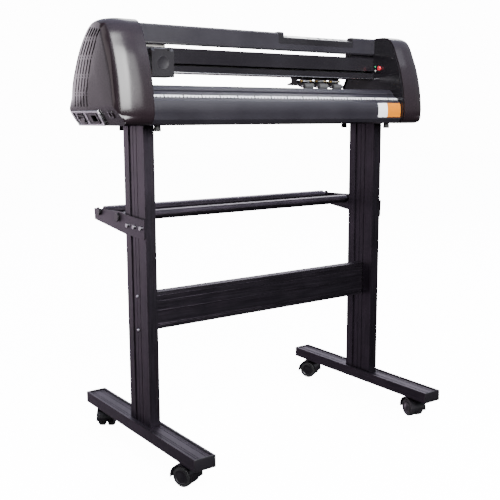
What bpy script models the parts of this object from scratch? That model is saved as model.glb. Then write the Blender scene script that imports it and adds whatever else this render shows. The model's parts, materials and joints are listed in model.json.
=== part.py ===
"""Vinyl cutter: a roll-fed desktop-width machine on a wheeled two-post stand.

Metres, +Z up, +X to the operator's right, the operator stands at -Y.
The origin is on the floor, midway between the two posts.
"""

import math

import bmesh
import bpy
from mathutils import Matrix, Vector

OBJECT_NAME = "vinyl_cutter"
GAP = 0.0003  # clearance between pieces that touch

# Stand
FOOT_X = 0.366
FOOT_WIDTH = 0.055
FOOT_LENGTH = 0.554
FOOT_BOTTOM = 0.060
FOOT_TOP = 0.088
FOOT_RIM = 0.006
FOOT_RECESS = 0.003
POST_X = 0.3632
POST_THICKNESS = 0.0276
POST_DEPTH = 0.100
POST_WALL = 0.0025
POST_FACE_WALL = 0.0043  # thicker, because the grooves are cut into it
CROSSBAR_BOTTOM = 0.317
CROSSBAR_HEIGHT = 0.092
CROSSBAR_THICKNESS = 0.028
CASTER_Y = 0.220
CASTER_TRAIL = 0.014
WHEEL_RADIUS = 0.025
WHEEL_OUTER = 0.021
WHEEL_INNER = 0.005
AXLE_RADIUS = 0.0038
CASTER_TURN = {"left_front": 24, "left_rear": -38, "right_front": -14, "right_rear": 30}

# Roll support
ARM_THICKNESS = 0.0035
ARM_SCREW_Z = 0.571
ARM_SCREW_Y = (0.036, 0.002, -0.032)
TUBE_RADIUS = 0.0125
TUBE_END = 0.366
TUBE_PIN_RADIUS = 0.006
TUBE_PIN_END = 0.3845
FRONT_TUBE = (0.085, 0.5865)
REAR_TUBE = (0.189, 0.592)

# Machine envelope
OPENING = 0.386  # half the clear width between the side plates
COVER_OUTER = 0.475
COVER_WALL = 0.003
PLATE_THICKNESS = 0.003
BODY_END = OPENING - GAP
MACHINE_BOTTOM = 0.809
CHAMFER_TOP = 0.848
CHAMFER_IN = 0.022

# Media path
PLATEN_Z = 0.900
GRIT_Y = 0.008
GRIT_RADIUS = 0.010
GRIT_Z = PLATEN_Z + 0.0008 - GRIT_RADIUS
JOURNAL_RADIUS = 0.005
BLADE_Y = -0.030

# Feed drive, behind the right side plate
GEAR_MODULE = 0.00125
GEAR_TEETH = 36
PINION_TEETH = 12
GEAR_LOW_X = 0.396
GEAR_HIGH_X = 0.404
FEED_MOTOR_ANGLE = 60
FEED_MOTOR_LOW_X = 0.408
FEED_MOTOR_HIGH_X = 0.448
MOTOR_SIDE = 0.042

# Carriage rail and its belt
BEAM_FRONT = -0.005
BEAM_REAR = 0.050
BEAM_BOTTOM = 0.932
BEAM_TOP = 0.990
BEAM_WALL = 0.003
SLOT_BOTTOM = 0.948
SLOT_TOP = 0.954
BELT_Y = 0.023
BELT_RADIUS = 0.009
BELT_THICKNESS = 0.0014
DRIVE_PULLEY_X = -0.4108
IDLER_PULLEY_X = 0.365

# Carriage
CARRIAGE_LEFT = -0.350
CARRIAGE_RIGHT = -0.292
CARRIAGE_FRONT = -0.050
CARRIAGE_BOTTOM = 0.919
CARRIAGE_TOP = 0.983
TOOL_X = -0.3685
TOOL_TIP_Z = 0.9035

# Top cover and control panel
COVER_FRONT = -0.007
COVER_LIP_Z = 1.001
TOP_Z = 1.0425
PANEL_LEFT = 0.046
PANEL_RIGHT = 0.304
PANEL_SLOPE = 19.3
PANEL_EDGE = (-0.0045, 1.0315)  # front edge of the sloping key face, as (y, z)

# Pinch rollers
PINCH_X = (0.158, 0.209, 0.260)
PINCH_RADIUS = 0.008
PINCH_Z = PLATEN_Z + 0.0008 + PINCH_RADIUS + 0.0005
PINCH_PIVOT = (0.040, 0.9205)

# Stop button in the right side plate
STOP_BUTTON = (-0.032, 0.961)


# ---------------------------------------------------------------- scene set-up


def clear_scene():
    for obj in list(bpy.data.objects):
        bpy.data.objects.remove(obj, do_unlink=True)


def new_collection(name):
    found = bpy.data.collections.new(name)
    bpy.context.scene.collection.children.link(found)
    return found


clear_scene()
PARTS = new_collection(OBJECT_NAME)
CUTTERS = new_collection(OBJECT_NAME + "_cutters")


def plastic(name, colour, roughness, metallic=0.0):
    made = bpy.data.materials.new(name)
    made.use_nodes = True
    shader = made.node_tree.nodes["Principled BSDF"]
    shader.inputs["Base Color"].default_value = (*colour, 1.0)
    shader.inputs["Roughness"].default_value = roughness
    shader.inputs["Metallic"].default_value = metallic
    return made


ANODISED = plastic("black_anodised", (0.030, 0.028, 0.034), 0.45, 0.6)
COVER_BLACK = plastic("cover_black", (0.022, 0.021, 0.024), 0.35)
SLATE = plastic("slate_paint", (0.034, 0.036, 0.044), 0.4, 0.2)
BLACK_STEEL = plastic("black_steel", (0.012, 0.012, 0.014), 0.3, 0.3)
BLACK_PLASTIC = plastic("black_plastic", (0.015, 0.015, 0.016), 0.5)
TREAD = plastic("tread", (0.02, 0.02, 0.02), 0.7)
STEEL = plastic("bright_steel", (0.62, 0.62, 0.64), 0.28, 1.0)
GRIT = plastic("grit_steel", (0.42, 0.42, 0.43), 0.55, 1.0)
BRASS = plastic("brass", (0.72, 0.53, 0.22), 0.3, 1.0)
RULE_WHITE = plastic("rule_white", (0.78, 0.78, 0.80), 0.45)
STRIP_WHITE = plastic("strip_white", (0.7, 0.7, 0.68), 0.6)
BELT_RUBBER = plastic("belt_rubber", (0.02, 0.02, 0.02), 0.8)
RED = plastic("red_button", (0.75, 0.02, 0.05), 0.3)
KEY_GREY = plastic("key_grey", (0.30, 0.31, 0.33), 0.5)
SCREEN = plastic("screen", (0.10, 0.16, 0.13), 0.1)
BOARD_GREEN = plastic("board_green", (0.02, 0.12, 0.05), 0.5)
ROLLER_RUBBER = plastic("roller_rubber", (0.05, 0.05, 0.05), 0.75)


# ------------------------------------------------------------ modelling helpers


def add(name, mesh, material=None, location=(0, 0, 0), rotation=(0, 0, 0), parent=None):
    """A named object; with no material it is a cutter."""
    obj = bpy.data.objects.new(name, mesh)
    (PARTS if material else CUTTERS).objects.link(obj)
    obj.location = location
    obj.rotation_euler = [math.radians(angle) for angle in rotation]
    obj.parent = parent
    if material is None:
        obj.hide_render = True
        obj.display_type = "WIRE"
    elif not mesh.materials:
        mesh.materials.append(material)
    return obj


def empty(name, location, rotation=(0, 0, 0)):
    obj = bpy.data.objects.new(name, None)
    PARTS.objects.link(obj)
    obj.location = location
    obj.rotation_euler = [math.radians(angle) for angle in rotation]
    return obj


def mesh_from(bm, name):
    mesh = bpy.data.meshes.new(name)
    bm.to_mesh(mesh)
    bm.free()
    return mesh


def box_mesh(name, low, high):
    bm = bmesh.new()
    size = [b - a for a, b in zip(low, high)]
    middle = [(a + b) / 2 for a, b in zip(low, high)]
    bmesh.ops.create_cube(bm, size=1, matrix=Matrix.Translation(middle) @ Matrix.Diagonal((*size, 1)))
    return mesh_from(bm, name)


def box(name, low, high, material=None, **place):
    return add(name, box_mesh(name, low, high), material, **place)


def rod_mesh(name, radius, start, end, sides=16):
    """A cylinder between two points."""
    start, end = Vector(start), Vector(end)
    turn = (end - start).to_track_quat("Z", "Y").to_matrix().to_4x4()
    bm = bmesh.new()
    bmesh.ops.create_cone(
        bm,
        cap_ends=True,
        segments=sides,
        radius1=radius,
        radius2=radius,
        depth=(end - start).length,
        matrix=Matrix.Translation((start + end) / 2) @ turn,
    )
    return mesh_from(bm, name)


def rod(name, radius, start, end, material=None, sides=16, **place):
    obj = add(name, rod_mesh(name, radius, start, end, sides), material, **place)
    soften(obj)
    return obj


def soften(obj, angle=35):
    obj.data.shade_smooth()
    obj.data.set_sharp_from_angle(angle=math.radians(angle))


def as_mesh(obj, name):
    """The evaluated mesh of a curve or of an object with modifiers, welded."""
    bpy.context.view_layer.update()
    graph = bpy.context.evaluated_depsgraph_get()
    mesh = bpy.data.meshes.new_from_object(obj.evaluated_get(graph))
    mesh.name = name
    bm = bmesh.new()
    bm.from_mesh(mesh)
    bmesh.ops.remove_doubles(bm, verts=bm.verts, dist=1e-6)
    bmesh.ops.recalc_face_normals(bm, faces=bm.faces)
    bm.to_mesh(mesh)
    bm.free()
    return mesh


AXIS_TURN = {"X": (90, 0, 90), "Y": (90, 0, 0), "Z": (0, 0, 0)}


def extruded(name, outlines, axis, low, high, material=None, **place):
    """A flat outline, with holes as further outlines, pushed along a world axis.

    Along X an outline is (y, z), along Y it is (x, z), and along Z it is (x, y).
    """
    curve = bpy.data.curves.new(name, "CURVE")
    curve.dimensions = "2D"
    curve.fill_mode = "BOTH"
    curve.extrude = (high - low) / 2
    for outline in outlines:
        spline = curve.splines.new("POLY")
        spline.points.add(len(outline) - 1)
        for point, (u, v) in zip(spline.points, outline):
            point.co = (u, v, 0, 1)
        spline.use_cyclic_u = True
    guide = bpy.data.objects.new(name + "_outline", curve)
    CUTTERS.objects.link(guide)
    mesh = as_mesh(guide, name)
    bpy.data.objects.remove(guide, do_unlink=True)
    turn = Matrix.Identity(4)
    for angle, letter in zip(AXIS_TURN[axis], "XYZ"):
        turn = Matrix.Rotation(math.radians(angle), 4, letter) @ turn
    shift = Vector([(low + high) / 2 if letter == axis else 0 for letter in "XYZ"])
    mesh.transform(Matrix.Translation(shift) @ turn)
    return add(name, mesh, material, **place)


def turned(name, profile, material=None, steps=24, **place):
    """A lathe shape about local Z from (radius, height) points, top to bottom."""
    bm = bmesh.new()
    points = [bm.verts.new((radius, 0, height)) for radius, height in profile]
    for a, b in zip(points, points[1:]):
        bm.edges.new((a, b))
    obj = add(name, mesh_from(bm, name), material, **place)
    screw = obj.modifiers.new("turn", "SCREW")
    screw.axis = "Z"
    screw.steps = steps
    screw.render_steps = steps
    screw.use_merge_vertices = True
    screw.merge_threshold = 0.00001
    screw.use_smooth_shade = True
    return obj


def boolean(target, tool, operation="DIFFERENCE"):
    step = target.modifiers.new(operation.lower(), "BOOLEAN")
    step.operation = operation
    step.object = tool
    step.solver = "EXACT"


def arc(centre, radius, start, end, steps):
    """Points on an arc, angles in degrees from the first axis."""
    found = []
    for i in range(steps + 1):
        angle = math.radians(start + (end - start) * i / steps)
        found.append((centre[0] + radius * math.cos(angle), centre[1] + radius * math.sin(angle)))
    return found


def circle(centre, radius, sides=16):
    return arc(centre, radius, 0, 360 - 360 / sides, sides - 1)


def rectangle(low, high):
    return [low, (high[0], low[1]), high, (low[0], high[1])]


def smooth(points, steps):
    """A Catmull-Rom curve through the points, end to end."""
    ends = [points[0], *points, points[-1]]
    found = []
    for a, b, c, d in zip(ends, ends[1:], ends[2:], ends[3:]):
        for i in range(steps):
            t = i / steps
            found.append(
                tuple(
                    0.5 * (2 * q + (r - p) * t + (2 * p - 5 * q + 4 * r - s) * t**2 + (3 * q - p - 3 * r + s) * t**3)
                    for p, q, r, s in zip(a, b, c, d)
                )
            )
    return [*found, points[-1]]


def outward(outline):
    """The unit normals that point out of a closed outline."""
    area = sum(a[0] * b[1] - b[0] * a[1] for a, b in zip(outline, outline[1:] + outline[:1]))
    side = 1 if area > 0 else -1
    normals = []
    for before, after in zip(outline[-1:] + outline[:-1], outline[1:] + outline[:1]):
        along = Vector(after) - Vector(before)
        normals.append(Vector((along.y, -along.x)).normalized() * side)
    return normals


def inset(outline, distance):
    return [tuple(Vector(p) - n * distance) for p, n in zip(outline, outward(outline))]


# ------------------------------------------------------------------------ stand


def foot(side, sign):
    half = FOOT_WIDTH / 2
    inner = half - FOOT_RIM
    floor = FOOT_TOP - FOOT_RECESS
    outline = [(-half, FOOT_BOTTOM), (half, FOOT_BOTTOM), (half, FOOT_TOP), (inner, FOOT_TOP)]
    outline += [(inner, floor), (-inner, floor), (-inner, FOOT_TOP), (-half, FOOT_TOP)]
    name = f"{side}_foot"
    end = FOOT_LENGTH / 2
    rail = extruded(name, [outline], "Y", -end, end, ANODISED, location=(sign * FOOT_X, 0, 0))
    for y in (-CASTER_Y, CASTER_Y):
        socket = rod(f"{name}_socket", 0.0046, (0, y, FOOT_BOTTOM - 0.01), (0, y, 0.080), parent=rail)
        boolean(rail, socket)


def post(side, sign):
    """A hollow extrusion with a deep channel, two fine grooves and a sunk band on each wide face."""
    x = POST_THICKNESS / 2
    y = POST_DEPTH / 2
    band = x - 0.0006
    channel = x - 0.0028
    fine = x - 0.0018
    right = [(x, -y), (x, -0.0165), (fine, -0.0165), (fine, -0.0130), (band, -0.0130), (band, 0.0012)]
    right += [(fine, 0.0012), (fine, 0.0030), (band, 0.0030), (band, 0.0150), (channel, 0.0150)]
    right += [(channel, 0.0245), (x, 0.0245), (x, y)]
    outline = right + [(-across, along) for across, along in reversed(right)]
    inner = x - POST_FACE_WALL
    hollow = rectangle((-inner, -y + POST_WALL), (inner, y - POST_WALL))
    name = f"{side}_post"
    low = FOOT_TOP - FOOT_RECESS + GAP
    high = MACHINE_BOTTOM - GAP
    upright = extruded(name, [outline, hollow], "Z", low, high, ANODISED, location=(sign * POST_X, 0, 0))
    for y in ARM_SCREW_Y:
        start = (sign * (x - 0.006), y, ARM_SCREW_Z)
        end = (sign * (x + 0.006), y, ARM_SCREW_Z)
        boolean(upright, rod(f"{name}_screw_hole", 0.0029, start, end, sides=12, parent=upright))


def crossbar():
    y = CROSSBAR_THICKNESS / 2
    outer = rectangle((-y, CROSSBAR_BOTTOM), (y, CROSSBAR_BOTTOM + CROSSBAR_HEIGHT))
    inner = inset(outer, POST_WALL * math.sqrt(2))
    end = POST_X - POST_THICKNESS / 2 - GAP
    extruded("crossbar", [outer, inner], "X", -end, end, ANODISED)


def roll_arm(side, sign):
    """The flat plate on the outer face of a post that carries both roll tubes."""
    y, z = REAR_TUBE
    slot = TUBE_PIN_RADIUS + 0.0006
    notch = [(y + slot, 0.5985), *arc((y, z), slot, 0, -180, 8), (y - slot, 0.5985)]
    outline = [(-0.052, 0.592), (-0.050, 0.546), (0.044, 0.549), (0.217, 0.569), (0.219, 0.5975)]
    outline += [*notch, (0.067, 0.601), (0.041, 0.597)]
    holes = [circle((y, ARM_SCREW_Z), 0.0029, 12) for y in ARM_SCREW_Y]
    holes.append(circle(FRONT_TUBE, TUBE_PIN_RADIUS + 0.0004, 16))
    inner = POST_X + POST_THICKNESS / 2 + GAP
    low, high = sorted((sign * inner, sign * (inner + ARM_THICKNESS)))
    extruded(f"{side}_roll_arm", [outline, *holes], "X", low, high, BLACK_STEEL)


def arm_screws(side, sign):
    """Three pan-head screws in the tapped bar that sits inside the post."""
    wall = POST_X + POST_THICKNESS / 2 - POST_FACE_WALL
    face = POST_X + POST_THICKNESS / 2 + GAP + ARM_THICKNESS
    name = f"{side}_arm_screws"
    low, high = sorted((sign * (wall - 0.005), sign * (wall - GAP)))
    bar = box(name, (low, -0.041, ARM_SCREW_Z - 0.006), (high, 0.044, ARM_SCREW_Z + 0.006), STEEL)
    for y in ARM_SCREW_Y:
        inner = (sign * (wall - 0.002), y, ARM_SCREW_Z)
        outer = (sign * (face + 0.001), y, ARM_SCREW_Z)
        boolean(bar, rod(f"{name}_shank", 0.0025, inner, outer, sides=10), "UNION")
        base = (sign * (face + GAP), y, ARM_SCREW_Z)
        tip = (sign * (face + GAP + 0.0025), y, ARM_SCREW_Z)
        boolean(bar, rod(f"{name}_head", 0.005, base, tip, sides=14), "UNION")


def roll_tube(name, centre):
    """A tube with an end pin in each arm; it turns freely under the vinyl roll."""
    neck = TUBE_END
    profile = [(0, TUBE_PIN_END), (TUBE_PIN_RADIUS, TUBE_PIN_END), (TUBE_PIN_RADIUS, neck), (TUBE_RADIUS, neck)]
    profile += [(radius, -height) for radius, height in reversed(profile)]
    turned(name, profile, ANODISED, steps=20, location=(0, *centre), rotation=(0, 90, 0))


def caster_housing_mesh():
    """The hood, the web between the wheels and the swivel stem, as one moulding."""
    axle = (CASTER_TRAIL, WHEEL_RADIUS)
    hood = [*arc(axle, 0.0300, -8, 188, 12), *arc(axle, 0.0270, 188, -8, 12)]
    body = extruded("caster_hood", [hood], "X", -0.0235, 0.0235)
    web = [*arc(axle, 0.0285, -20, 200, 12)]
    bore = circle(axle, AXLE_RADIUS + 0.0006, 12)
    boolean(body, extruded("caster_web", [web, bore], "X", -0.003, 0.003), "UNION")
    boss = rod("caster_boss", 0.011, (0, 0, 0.0425), (0, 0, FOOT_BOTTOM - GAP))
    boolean(body, boss, "UNION")
    boolean(body, rod("caster_stem", 0.004, (0, 0, 0.050), (0, 0, 0.078), sides=12), "UNION")
    for x in (-1, 1):
        low, high = sorted((x * 0.0031, x * 0.03))
        wheel_room = extruded("caster_room", [circle(axle, 0.0262, 20)], "X", low, high)
        boolean(body, wheel_room)
    mesh = as_mesh(body, "caster_housing")
    for guide in [body, *[step.object for step in body.modifiers]]:
        bpy.data.objects.remove(guide, do_unlink=True)
    return mesh


def caster_wheels_mesh():
    """Two wheels on one axle, turned about local Z."""
    bevel = 0.003
    half = [(0, WHEEL_OUTER), (WHEEL_RADIUS - bevel, WHEEL_OUTER), (WHEEL_RADIUS, WHEEL_OUTER - bevel)]
    half += [(WHEEL_RADIUS, WHEEL_INNER + 0.001), (WHEEL_RADIUS - 0.001, WHEEL_INNER), (AXLE_RADIUS, WHEEL_INNER)]
    profile = half + [(radius, -height) for radius, height in reversed(half)]
    wheels = turned("caster_wheels", profile, steps=20)
    mesh = as_mesh(wheels, "caster_wheels")
    bpy.data.objects.remove(wheels, do_unlink=True)
    return mesh


def casters():
    housing = caster_housing_mesh()
    wheels = caster_wheels_mesh()
    for side, x in (("left", -FOOT_X), ("right", FOOT_X)):
        for end, y in (("front", -CASTER_Y), ("rear", CASTER_Y)):
            corner = f"{side}_{end}"
            turn = CASTER_TURN[corner]
            stem = add(f"{corner}_caster_housing", housing, BLACK_PLASTIC, (x, y, 0), (0, 0, turn))
            soften(stem)
            axle = (0, CASTER_TRAIL, WHEEL_RADIUS)
            pair = add(f"{corner}_caster_wheels", wheels, TREAD, axle, (0, 90, 0), parent=stem)
            soften(pair)


# ---------------------------------------------------------------- machine casing


def cover_profile():
    """The end cover's outline where it meets the side plate, as (y, z), front to back over the top."""
    points = [(-0.102, 0.809), (-0.117, 0.814), (-0.1255, 0.829), (-0.1265, 0.852), (-0.120, 0.905)]
    points += [(-0.106, 0.957), (-0.090, 0.996), (-0.079, 1.019), (-0.066, 1.035), (-0.047, 1.0435)]
    points += [(-0.010, 1.044), (0.014, 1.037), (0.038, 1.019), (0.0685, 0.985), (0.1015, 0.9385)]
    points += [(0.1225, 0.902), (0.136, 0.855), (0.1365, 0.832), (0.131, 0.815), (0.120, 0.809)]
    return smooth(points, 2)


def edge_round(normal, z):
    """How far the outer edge is rounded, across the machine and inwards: most at the front and the top."""
    front = max(0.0, -normal.x)
    top = max(0.0, normal.y)
    low = min(1.0, max(0.0, (z - MACHINE_BOTTOM) / 0.02))
    across = 0.010 + 0.058 * front + 0.036 * top * (1 - front)
    inwards = 0.006 + 0.018 * front + 0.005 * top
    return Vector((0.004, 0.004)).lerp(Vector((across, inwards)), low)


def cover_shell(name, sign):
    """An open moulded shell: the profile pushed outwards, its outer edge rounded over."""
    outline = cover_profile()
    normals = outward(outline)
    rings = [[(sign * OPENING, y, z) for y, z in outline]]
    for angle in (0, 22.5, 45, 67.5, 90):
        turn = math.radians(angle)
        ring = []
        for (y, z), normal in zip(outline, normals):
            size = edge_round(normal, z)
            inward = size.y * (1 - math.cos(turn))
            x = COVER_OUTER - size.x * (1 - math.sin(turn))
            ring.append((sign * x, y - normal.x * inward, z - normal.y * inward))
        rings.append(ring)
    bm = bmesh.new()
    grid = [[bm.verts.new(point) for point in ring] for ring in rings]
    for lower, upper in zip(grid, grid[1:]):
        for i in range(len(outline)):
            j = (i + 1) % len(outline)
            bm.faces.new((lower[i], lower[j], upper[j], upper[i]))
    bm.faces.new(grid[-1])
    slope = Vector((sign * (CHAMFER_TOP - MACHINE_BOTTOM), 0, -CHAMFER_IN)).normalized()
    start = Vector((sign * COVER_OUTER, 0, CHAMFER_TOP))
    shape = bm.verts[:] + bm.edges[:] + bm.faces[:]
    cut = bmesh.ops.bisect_plane(bm, geom=shape, plane_co=start, plane_no=slope, clear_outer=True)
    rim = [e for e in cut["geom_cut"] if isinstance(e, bmesh.types.BMEdge) and e.is_boundary]
    bmesh.ops.contextual_create(bm, geom=rim)
    bmesh.ops.recalc_face_normals(bm, faces=bm.faces)
    bm.faces.ensure_lookup_table()
    highest = max(bm.faces, key=lambda face: face.calc_center_median().z)
    if highest.normal.z < 0:
        bmesh.ops.reverse_faces(bm, faces=bm.faces)
    shell = add(name, mesh_from(bm, name), COVER_BLACK)
    soften(shell, 30)
    wall = shell.modifiers.new("wall", "SOLIDIFY")
    wall.thickness = COVER_WALL
    wall.offset = -1
    return shell


VENT_ROWS = (  # foot and head of the slot nearest the back, then of the one nearest the front, as (y, z)
    ((0.0935, 0.8530), (0.0960, 0.8785), (0.0290, 0.8520), (0.0300, 0.8770)),
    ((0.0922, 0.8868), (0.0780, 0.9189), (0.0266, 0.8850), (0.0132, 0.9163)),
    ((0.0755, 0.9270), (0.0580, 0.9599), (0.0105, 0.9242), (-0.0030, 0.9563)),
    ((0.0528, 0.9682), (0.0265, 0.9990), (-0.0080, 0.9644), (-0.0290, 0.9950)),
    ((0.0195, 1.0068), (-0.0060, 1.0255), (-0.0355, 1.0030), (-0.0555, 1.0215)),
)


def vent_holes(columns=5):
    """Foot and head of every vent slot, and of the small square hole between two slots in a column."""
    previous = None
    for back_foot, back_head, front_foot, front_head in VENT_ROWS:
        feet = [Vector(back_foot).lerp(Vector(front_foot), i / (columns - 1)) for i in range(columns)]
        heads = [Vector(back_head).lerp(Vector(front_head), i / (columns - 1)) for i in range(columns)]
        yield from zip(feet, heads)
        for below, above in zip(previous or (), feet):
            middle = (below + above) / 2
            half = (above - below).normalized() * 0.002
            yield middle - half, middle + half
        previous = heads


def vent_cutter(width=0.0056, depth=0.016):
    """All the holes of the left cover's vent, as one tool."""
    bm = bmesh.new()
    for foot, head in vent_holes():
        middle = (foot + head) / 2
        along = head - foot
        place = Matrix.Translation((-COVER_OUTER, middle.x, middle.y))
        turn = Matrix.Rotation(math.atan2(along.y, along.x) - math.pi / 2, 4, "X")
        size = Matrix.Diagonal((depth, width, along.length, 1))
        bmesh.ops.create_cube(bm, size=1, matrix=place @ turn @ size)
    return add("vent_slots", mesh_from(bm, "vent_slots"))


def side_plate(side, sign):
    """The steel end frame that the rail, the housing and the cover are screwed to."""
    low, high = sorted((sign * OPENING, sign * (OPENING + PLATE_THICKNESS)))
    outline = inset(cover_profile(), COVER_WALL + 2 * GAP)
    holes = [circle((GRIT_Y, GRIT_Z), JOURNAL_RADIUS + 0.0005, 16)]
    if sign < 0:
        window = rectangle((BELT_Y - 0.016, SLOT_BOTTOM - 0.004), (BELT_Y + 0.016, SLOT_TOP + 0.004))
        holes.append(window)
    else:
        holes.append(circle(STOP_BUTTON, 0.0045, 12))
    extruded(f"{side}_side_plate", [outline, *holes], "X", low, high, BLACK_STEEL)


def chamfer_frame():
    """An empty on the left cover's lower slope: local Z out of it, local Y to the machine's back."""
    down = CHAMFER_TOP - MACHINE_BOTTOM
    tilt = math.degrees(math.atan2(CHAMFER_IN, down))
    middle = 0.53  # how far down the slope the plate is centred
    place = (-COVER_OUTER + CHAMFER_IN * middle, 0.047, CHAMFER_TOP - down * middle)
    return empty("power_mount", place, (0, -90 - tilt, 0))


POWER_LENGTH = 0.142
POWER_HEIGHT = 0.038
INLET_Y = -0.026
INLET_SIZE = (0.022, 0.048)
SWITCH_Y = 0.036
SWITCH_SIZE = (0.022, 0.026)


def power_entry(cover):
    """The bright plate with the mains inlet and the rocker switch, on the lower slope."""
    mount = chamfer_frame()
    room = (POWER_HEIGHT / 2 - 0.005, POWER_LENGTH / 2 - 0.008)
    opening = box("power_opening", (-room[0], -room[1], -0.012), (*room, 0.012), parent=mount)
    boolean(cover, opening)
    edge = (POWER_HEIGHT / 2, POWER_LENGTH / 2)
    plate = box("power_plate", (-edge[0], -edge[1], GAP), (*edge, 0.0022), STEEL, parent=mount)
    for name, y, size in (("inlet", INLET_Y, INLET_SIZE), ("switch", SWITCH_Y, SWITCH_SIZE)):
        half = (size[0] / 2 + GAP, size[1] / 2 + GAP)
        low = (-half[0], y - half[1], -0.01)
        high = (half[0], y + half[1], 0.01)
        boolean(plate, box(f"{name}_hole", low, high, parent=mount))
    x, y = INLET_SIZE[0] / 2, INLET_SIZE[1] / 2
    inlet = box("power_inlet", (-x, INLET_Y - y, -0.018), (x, INLET_Y + y, 0.0035), BLACK_PLASTIC, parent=mount)
    socket = box("inlet_socket", (-x + 0.003, INLET_Y - y + 0.003, -0.014), (x - 0.003, INLET_Y + 0.006, 0.01), parent=mount)
    boolean(inlet, socket)
    for offset in (-0.0145, -0.0085, -0.0025):
        low = (-0.003, INLET_Y + offset - 0.001, -0.016)
        high = (0.003, INLET_Y + offset + 0.001, -0.0095)
        boolean(inlet, box("inlet_blade", low, high, parent=mount), "UNION")
    rocker_outline = [(-0.010, -0.006), (0.010, -0.006), (0.010, 0.0045), (0, 0.0015), (-0.010, 0.0068)]
    half = SWITCH_SIZE[1] / 2 - 0.0012
    rocker = extruded("power_switch", [rocker_outline], "Y", -half, half, BLACK_PLASTIC, parent=mount)
    rocker.location = (0, SWITCH_Y, 0.0005)


# ------------------------------------------------------------------ media bed


def base_housing():
    """The long aluminium bed: flat platen on top, sloping rule face, curved apron, open belly slot."""
    front = [(-0.070, PLATEN_Z), (-0.074, 0.8985), (-0.0835, 0.8905), (-0.0845, 0.8885), (-0.0825, 0.8878)]
    front += [(-0.0875, 0.8838), (-0.097, 0.8775), (-0.1005, 0.8715), (-0.107, 0.8685)]
    front += [*arc((-0.0625, 0.8435), 0.0535, 157, 184, 5)]
    front += [(-0.1140, 0.822), (-0.1090, 0.8135), (-0.100, MACHINE_BOTTOM + GAP)]
    rear = [(0.104, MACHINE_BOTTOM + GAP), (0.116, 0.816), (0.118, 0.840), (0.112, 0.874), (0.098, 0.893)]
    rear += [(0.082, PLATEN_Z)]
    slot = 0.0105
    wall = 0.003
    floor = MACHINE_BOTTOM + GAP + wall
    inside = [(GRIT_Y + slot, PLATEN_Z), (GRIT_Y + slot, PLATEN_Z - wall), (0.080, PLATEN_Z - wall)]
    inside += [(0.094, 0.8905), (0.1075, 0.872), (0.114, 0.840), (0.1125, 0.819), (0.103, floor)]
    inside += [(-0.0985, floor), (-0.1065, 0.816), (-0.1110, 0.824), *arc((-0.0625, 0.8435), 0.0495, 184, 157, 5)]
    inside += [(-0.1035, 0.8655), (-0.0975, 0.8680), (-0.0945, 0.8745), (-0.080, 0.8845), (-0.071, 0.8945)]
    inside += [(-0.066, PLATEN_Z - wall), (GRIT_Y - slot, PLATEN_Z - wall), (GRIT_Y - slot, PLATEN_Z)]
    groove = [(BLADE_Y + 0.0062, PLATEN_Z), (BLADE_Y + 0.0062, PLATEN_Z - 0.001)]
    groove += [(BLADE_Y - 0.0062, PLATEN_Z - 0.001), (BLADE_Y - 0.0062, PLATEN_Z)]
    extruded("base_housing", [front + rear + inside + groove], "X", -BODY_END, BODY_END, SLATE)


def cutting_strip():
    low = (-BODY_END, BLADE_Y - 0.0059, PLATEN_Z - 0.001 + GAP)
    high = (BODY_END, BLADE_Y + 0.0059, PLATEN_Z + 0.0002)
    box("cutting_strip", low, high, STRIP_WHITE)


def ruler_strip():
    """The printed rule on the sloping face in front of the platen."""
    low, high = Vector((-0.1003, 0.8720)), Vector((-0.0972, 0.8773))
    out = Vector((high.y - low.y, low.x - high.x)).normalized() * -1
    base = [low + out * GAP, high + out * GAP]
    face = [high + out * (GAP + 0.0005), low + out * (GAP + 0.0005)]
    extruded("ruler_strip", [[tuple(p) for p in base + face]], "X", -BODY_END, BODY_END, RULE_WHITE)


def grit_roller():
    """The knurled drive shaft, with a journal through each side plate."""
    grit_end = OPENING - 0.006
    left_end = -(OPENING + 0.009)
    right_end = GEAR_HIGH_X + 0.003
    profile = [(0, right_end), (JOURNAL_RADIUS, right_end), (JOURNAL_RADIUS, grit_end), (GRIT_RADIUS, grit_end)]
    profile += [(GRIT_RADIUS, -grit_end), (JOURNAL_RADIUS, -grit_end), (JOURNAL_RADIUS, left_end), (0, left_end)]
    turned("grit_roller", profile, GRIT, steps=20, location=(0, GRIT_Y, GRIT_Z), rotation=(0, 90, 0))


# ----------------------------------------------------------------- feed drive


def gear_outline(teeth, phase=0.0):
    """A spur gear with straight-flanked teeth, slim enough to run with clearance."""
    pitch = GEAR_MODULE * teeth / 2
    tip = pitch + 0.85 * GEAR_MODULE
    root = pitch - 1.15 * GEAR_MODULE
    step = 360 / teeth
    points = []
    for i in range(teeth):
        for radius, share in ((root, -0.30), (tip, -0.10), (tip, 0.10), (root, 0.30)):
            angle = math.radians(phase + (i + share) * step)
            points.append((radius * math.cos(angle), radius * math.sin(angle)))
    return points


def feed_centre():
    distance = GEAR_MODULE * (GEAR_TEETH + PINION_TEETH) / 2
    angle = math.radians(FEED_MOTOR_ANGLE)
    return GRIT_Y + distance * math.cos(angle), GRIT_Z + distance * math.sin(angle)


def feed_gears():
    bore = circle((0, 0), JOURNAL_RADIUS + GAP, 12)
    gear = gear_outline(GEAR_TEETH, FEED_MOTOR_ANGLE)
    place = (0, GRIT_Y, GRIT_Z)
    extruded("feed_gear", [gear, bore], "X", GEAR_LOW_X, GEAR_HIGH_X, BLACK_PLASTIC, location=place)
    pinion = gear_outline(PINION_TEETH, FEED_MOTOR_ANGLE + 180 + 180 / PINION_TEETH)
    place = (0, *feed_centre())
    small = extruded("motor_pinion", [pinion], "X", GEAR_LOW_X, GEAR_HIGH_X, BRASS, location=place)
    shaft = rod("pinion_shaft", 0.0025, (GEAR_HIGH_X - 0.004, 0, 0), (FEED_MOTOR_LOW_X + 0.012, 0, 0), parent=small)
    boolean(small, shaft, "UNION")


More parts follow.
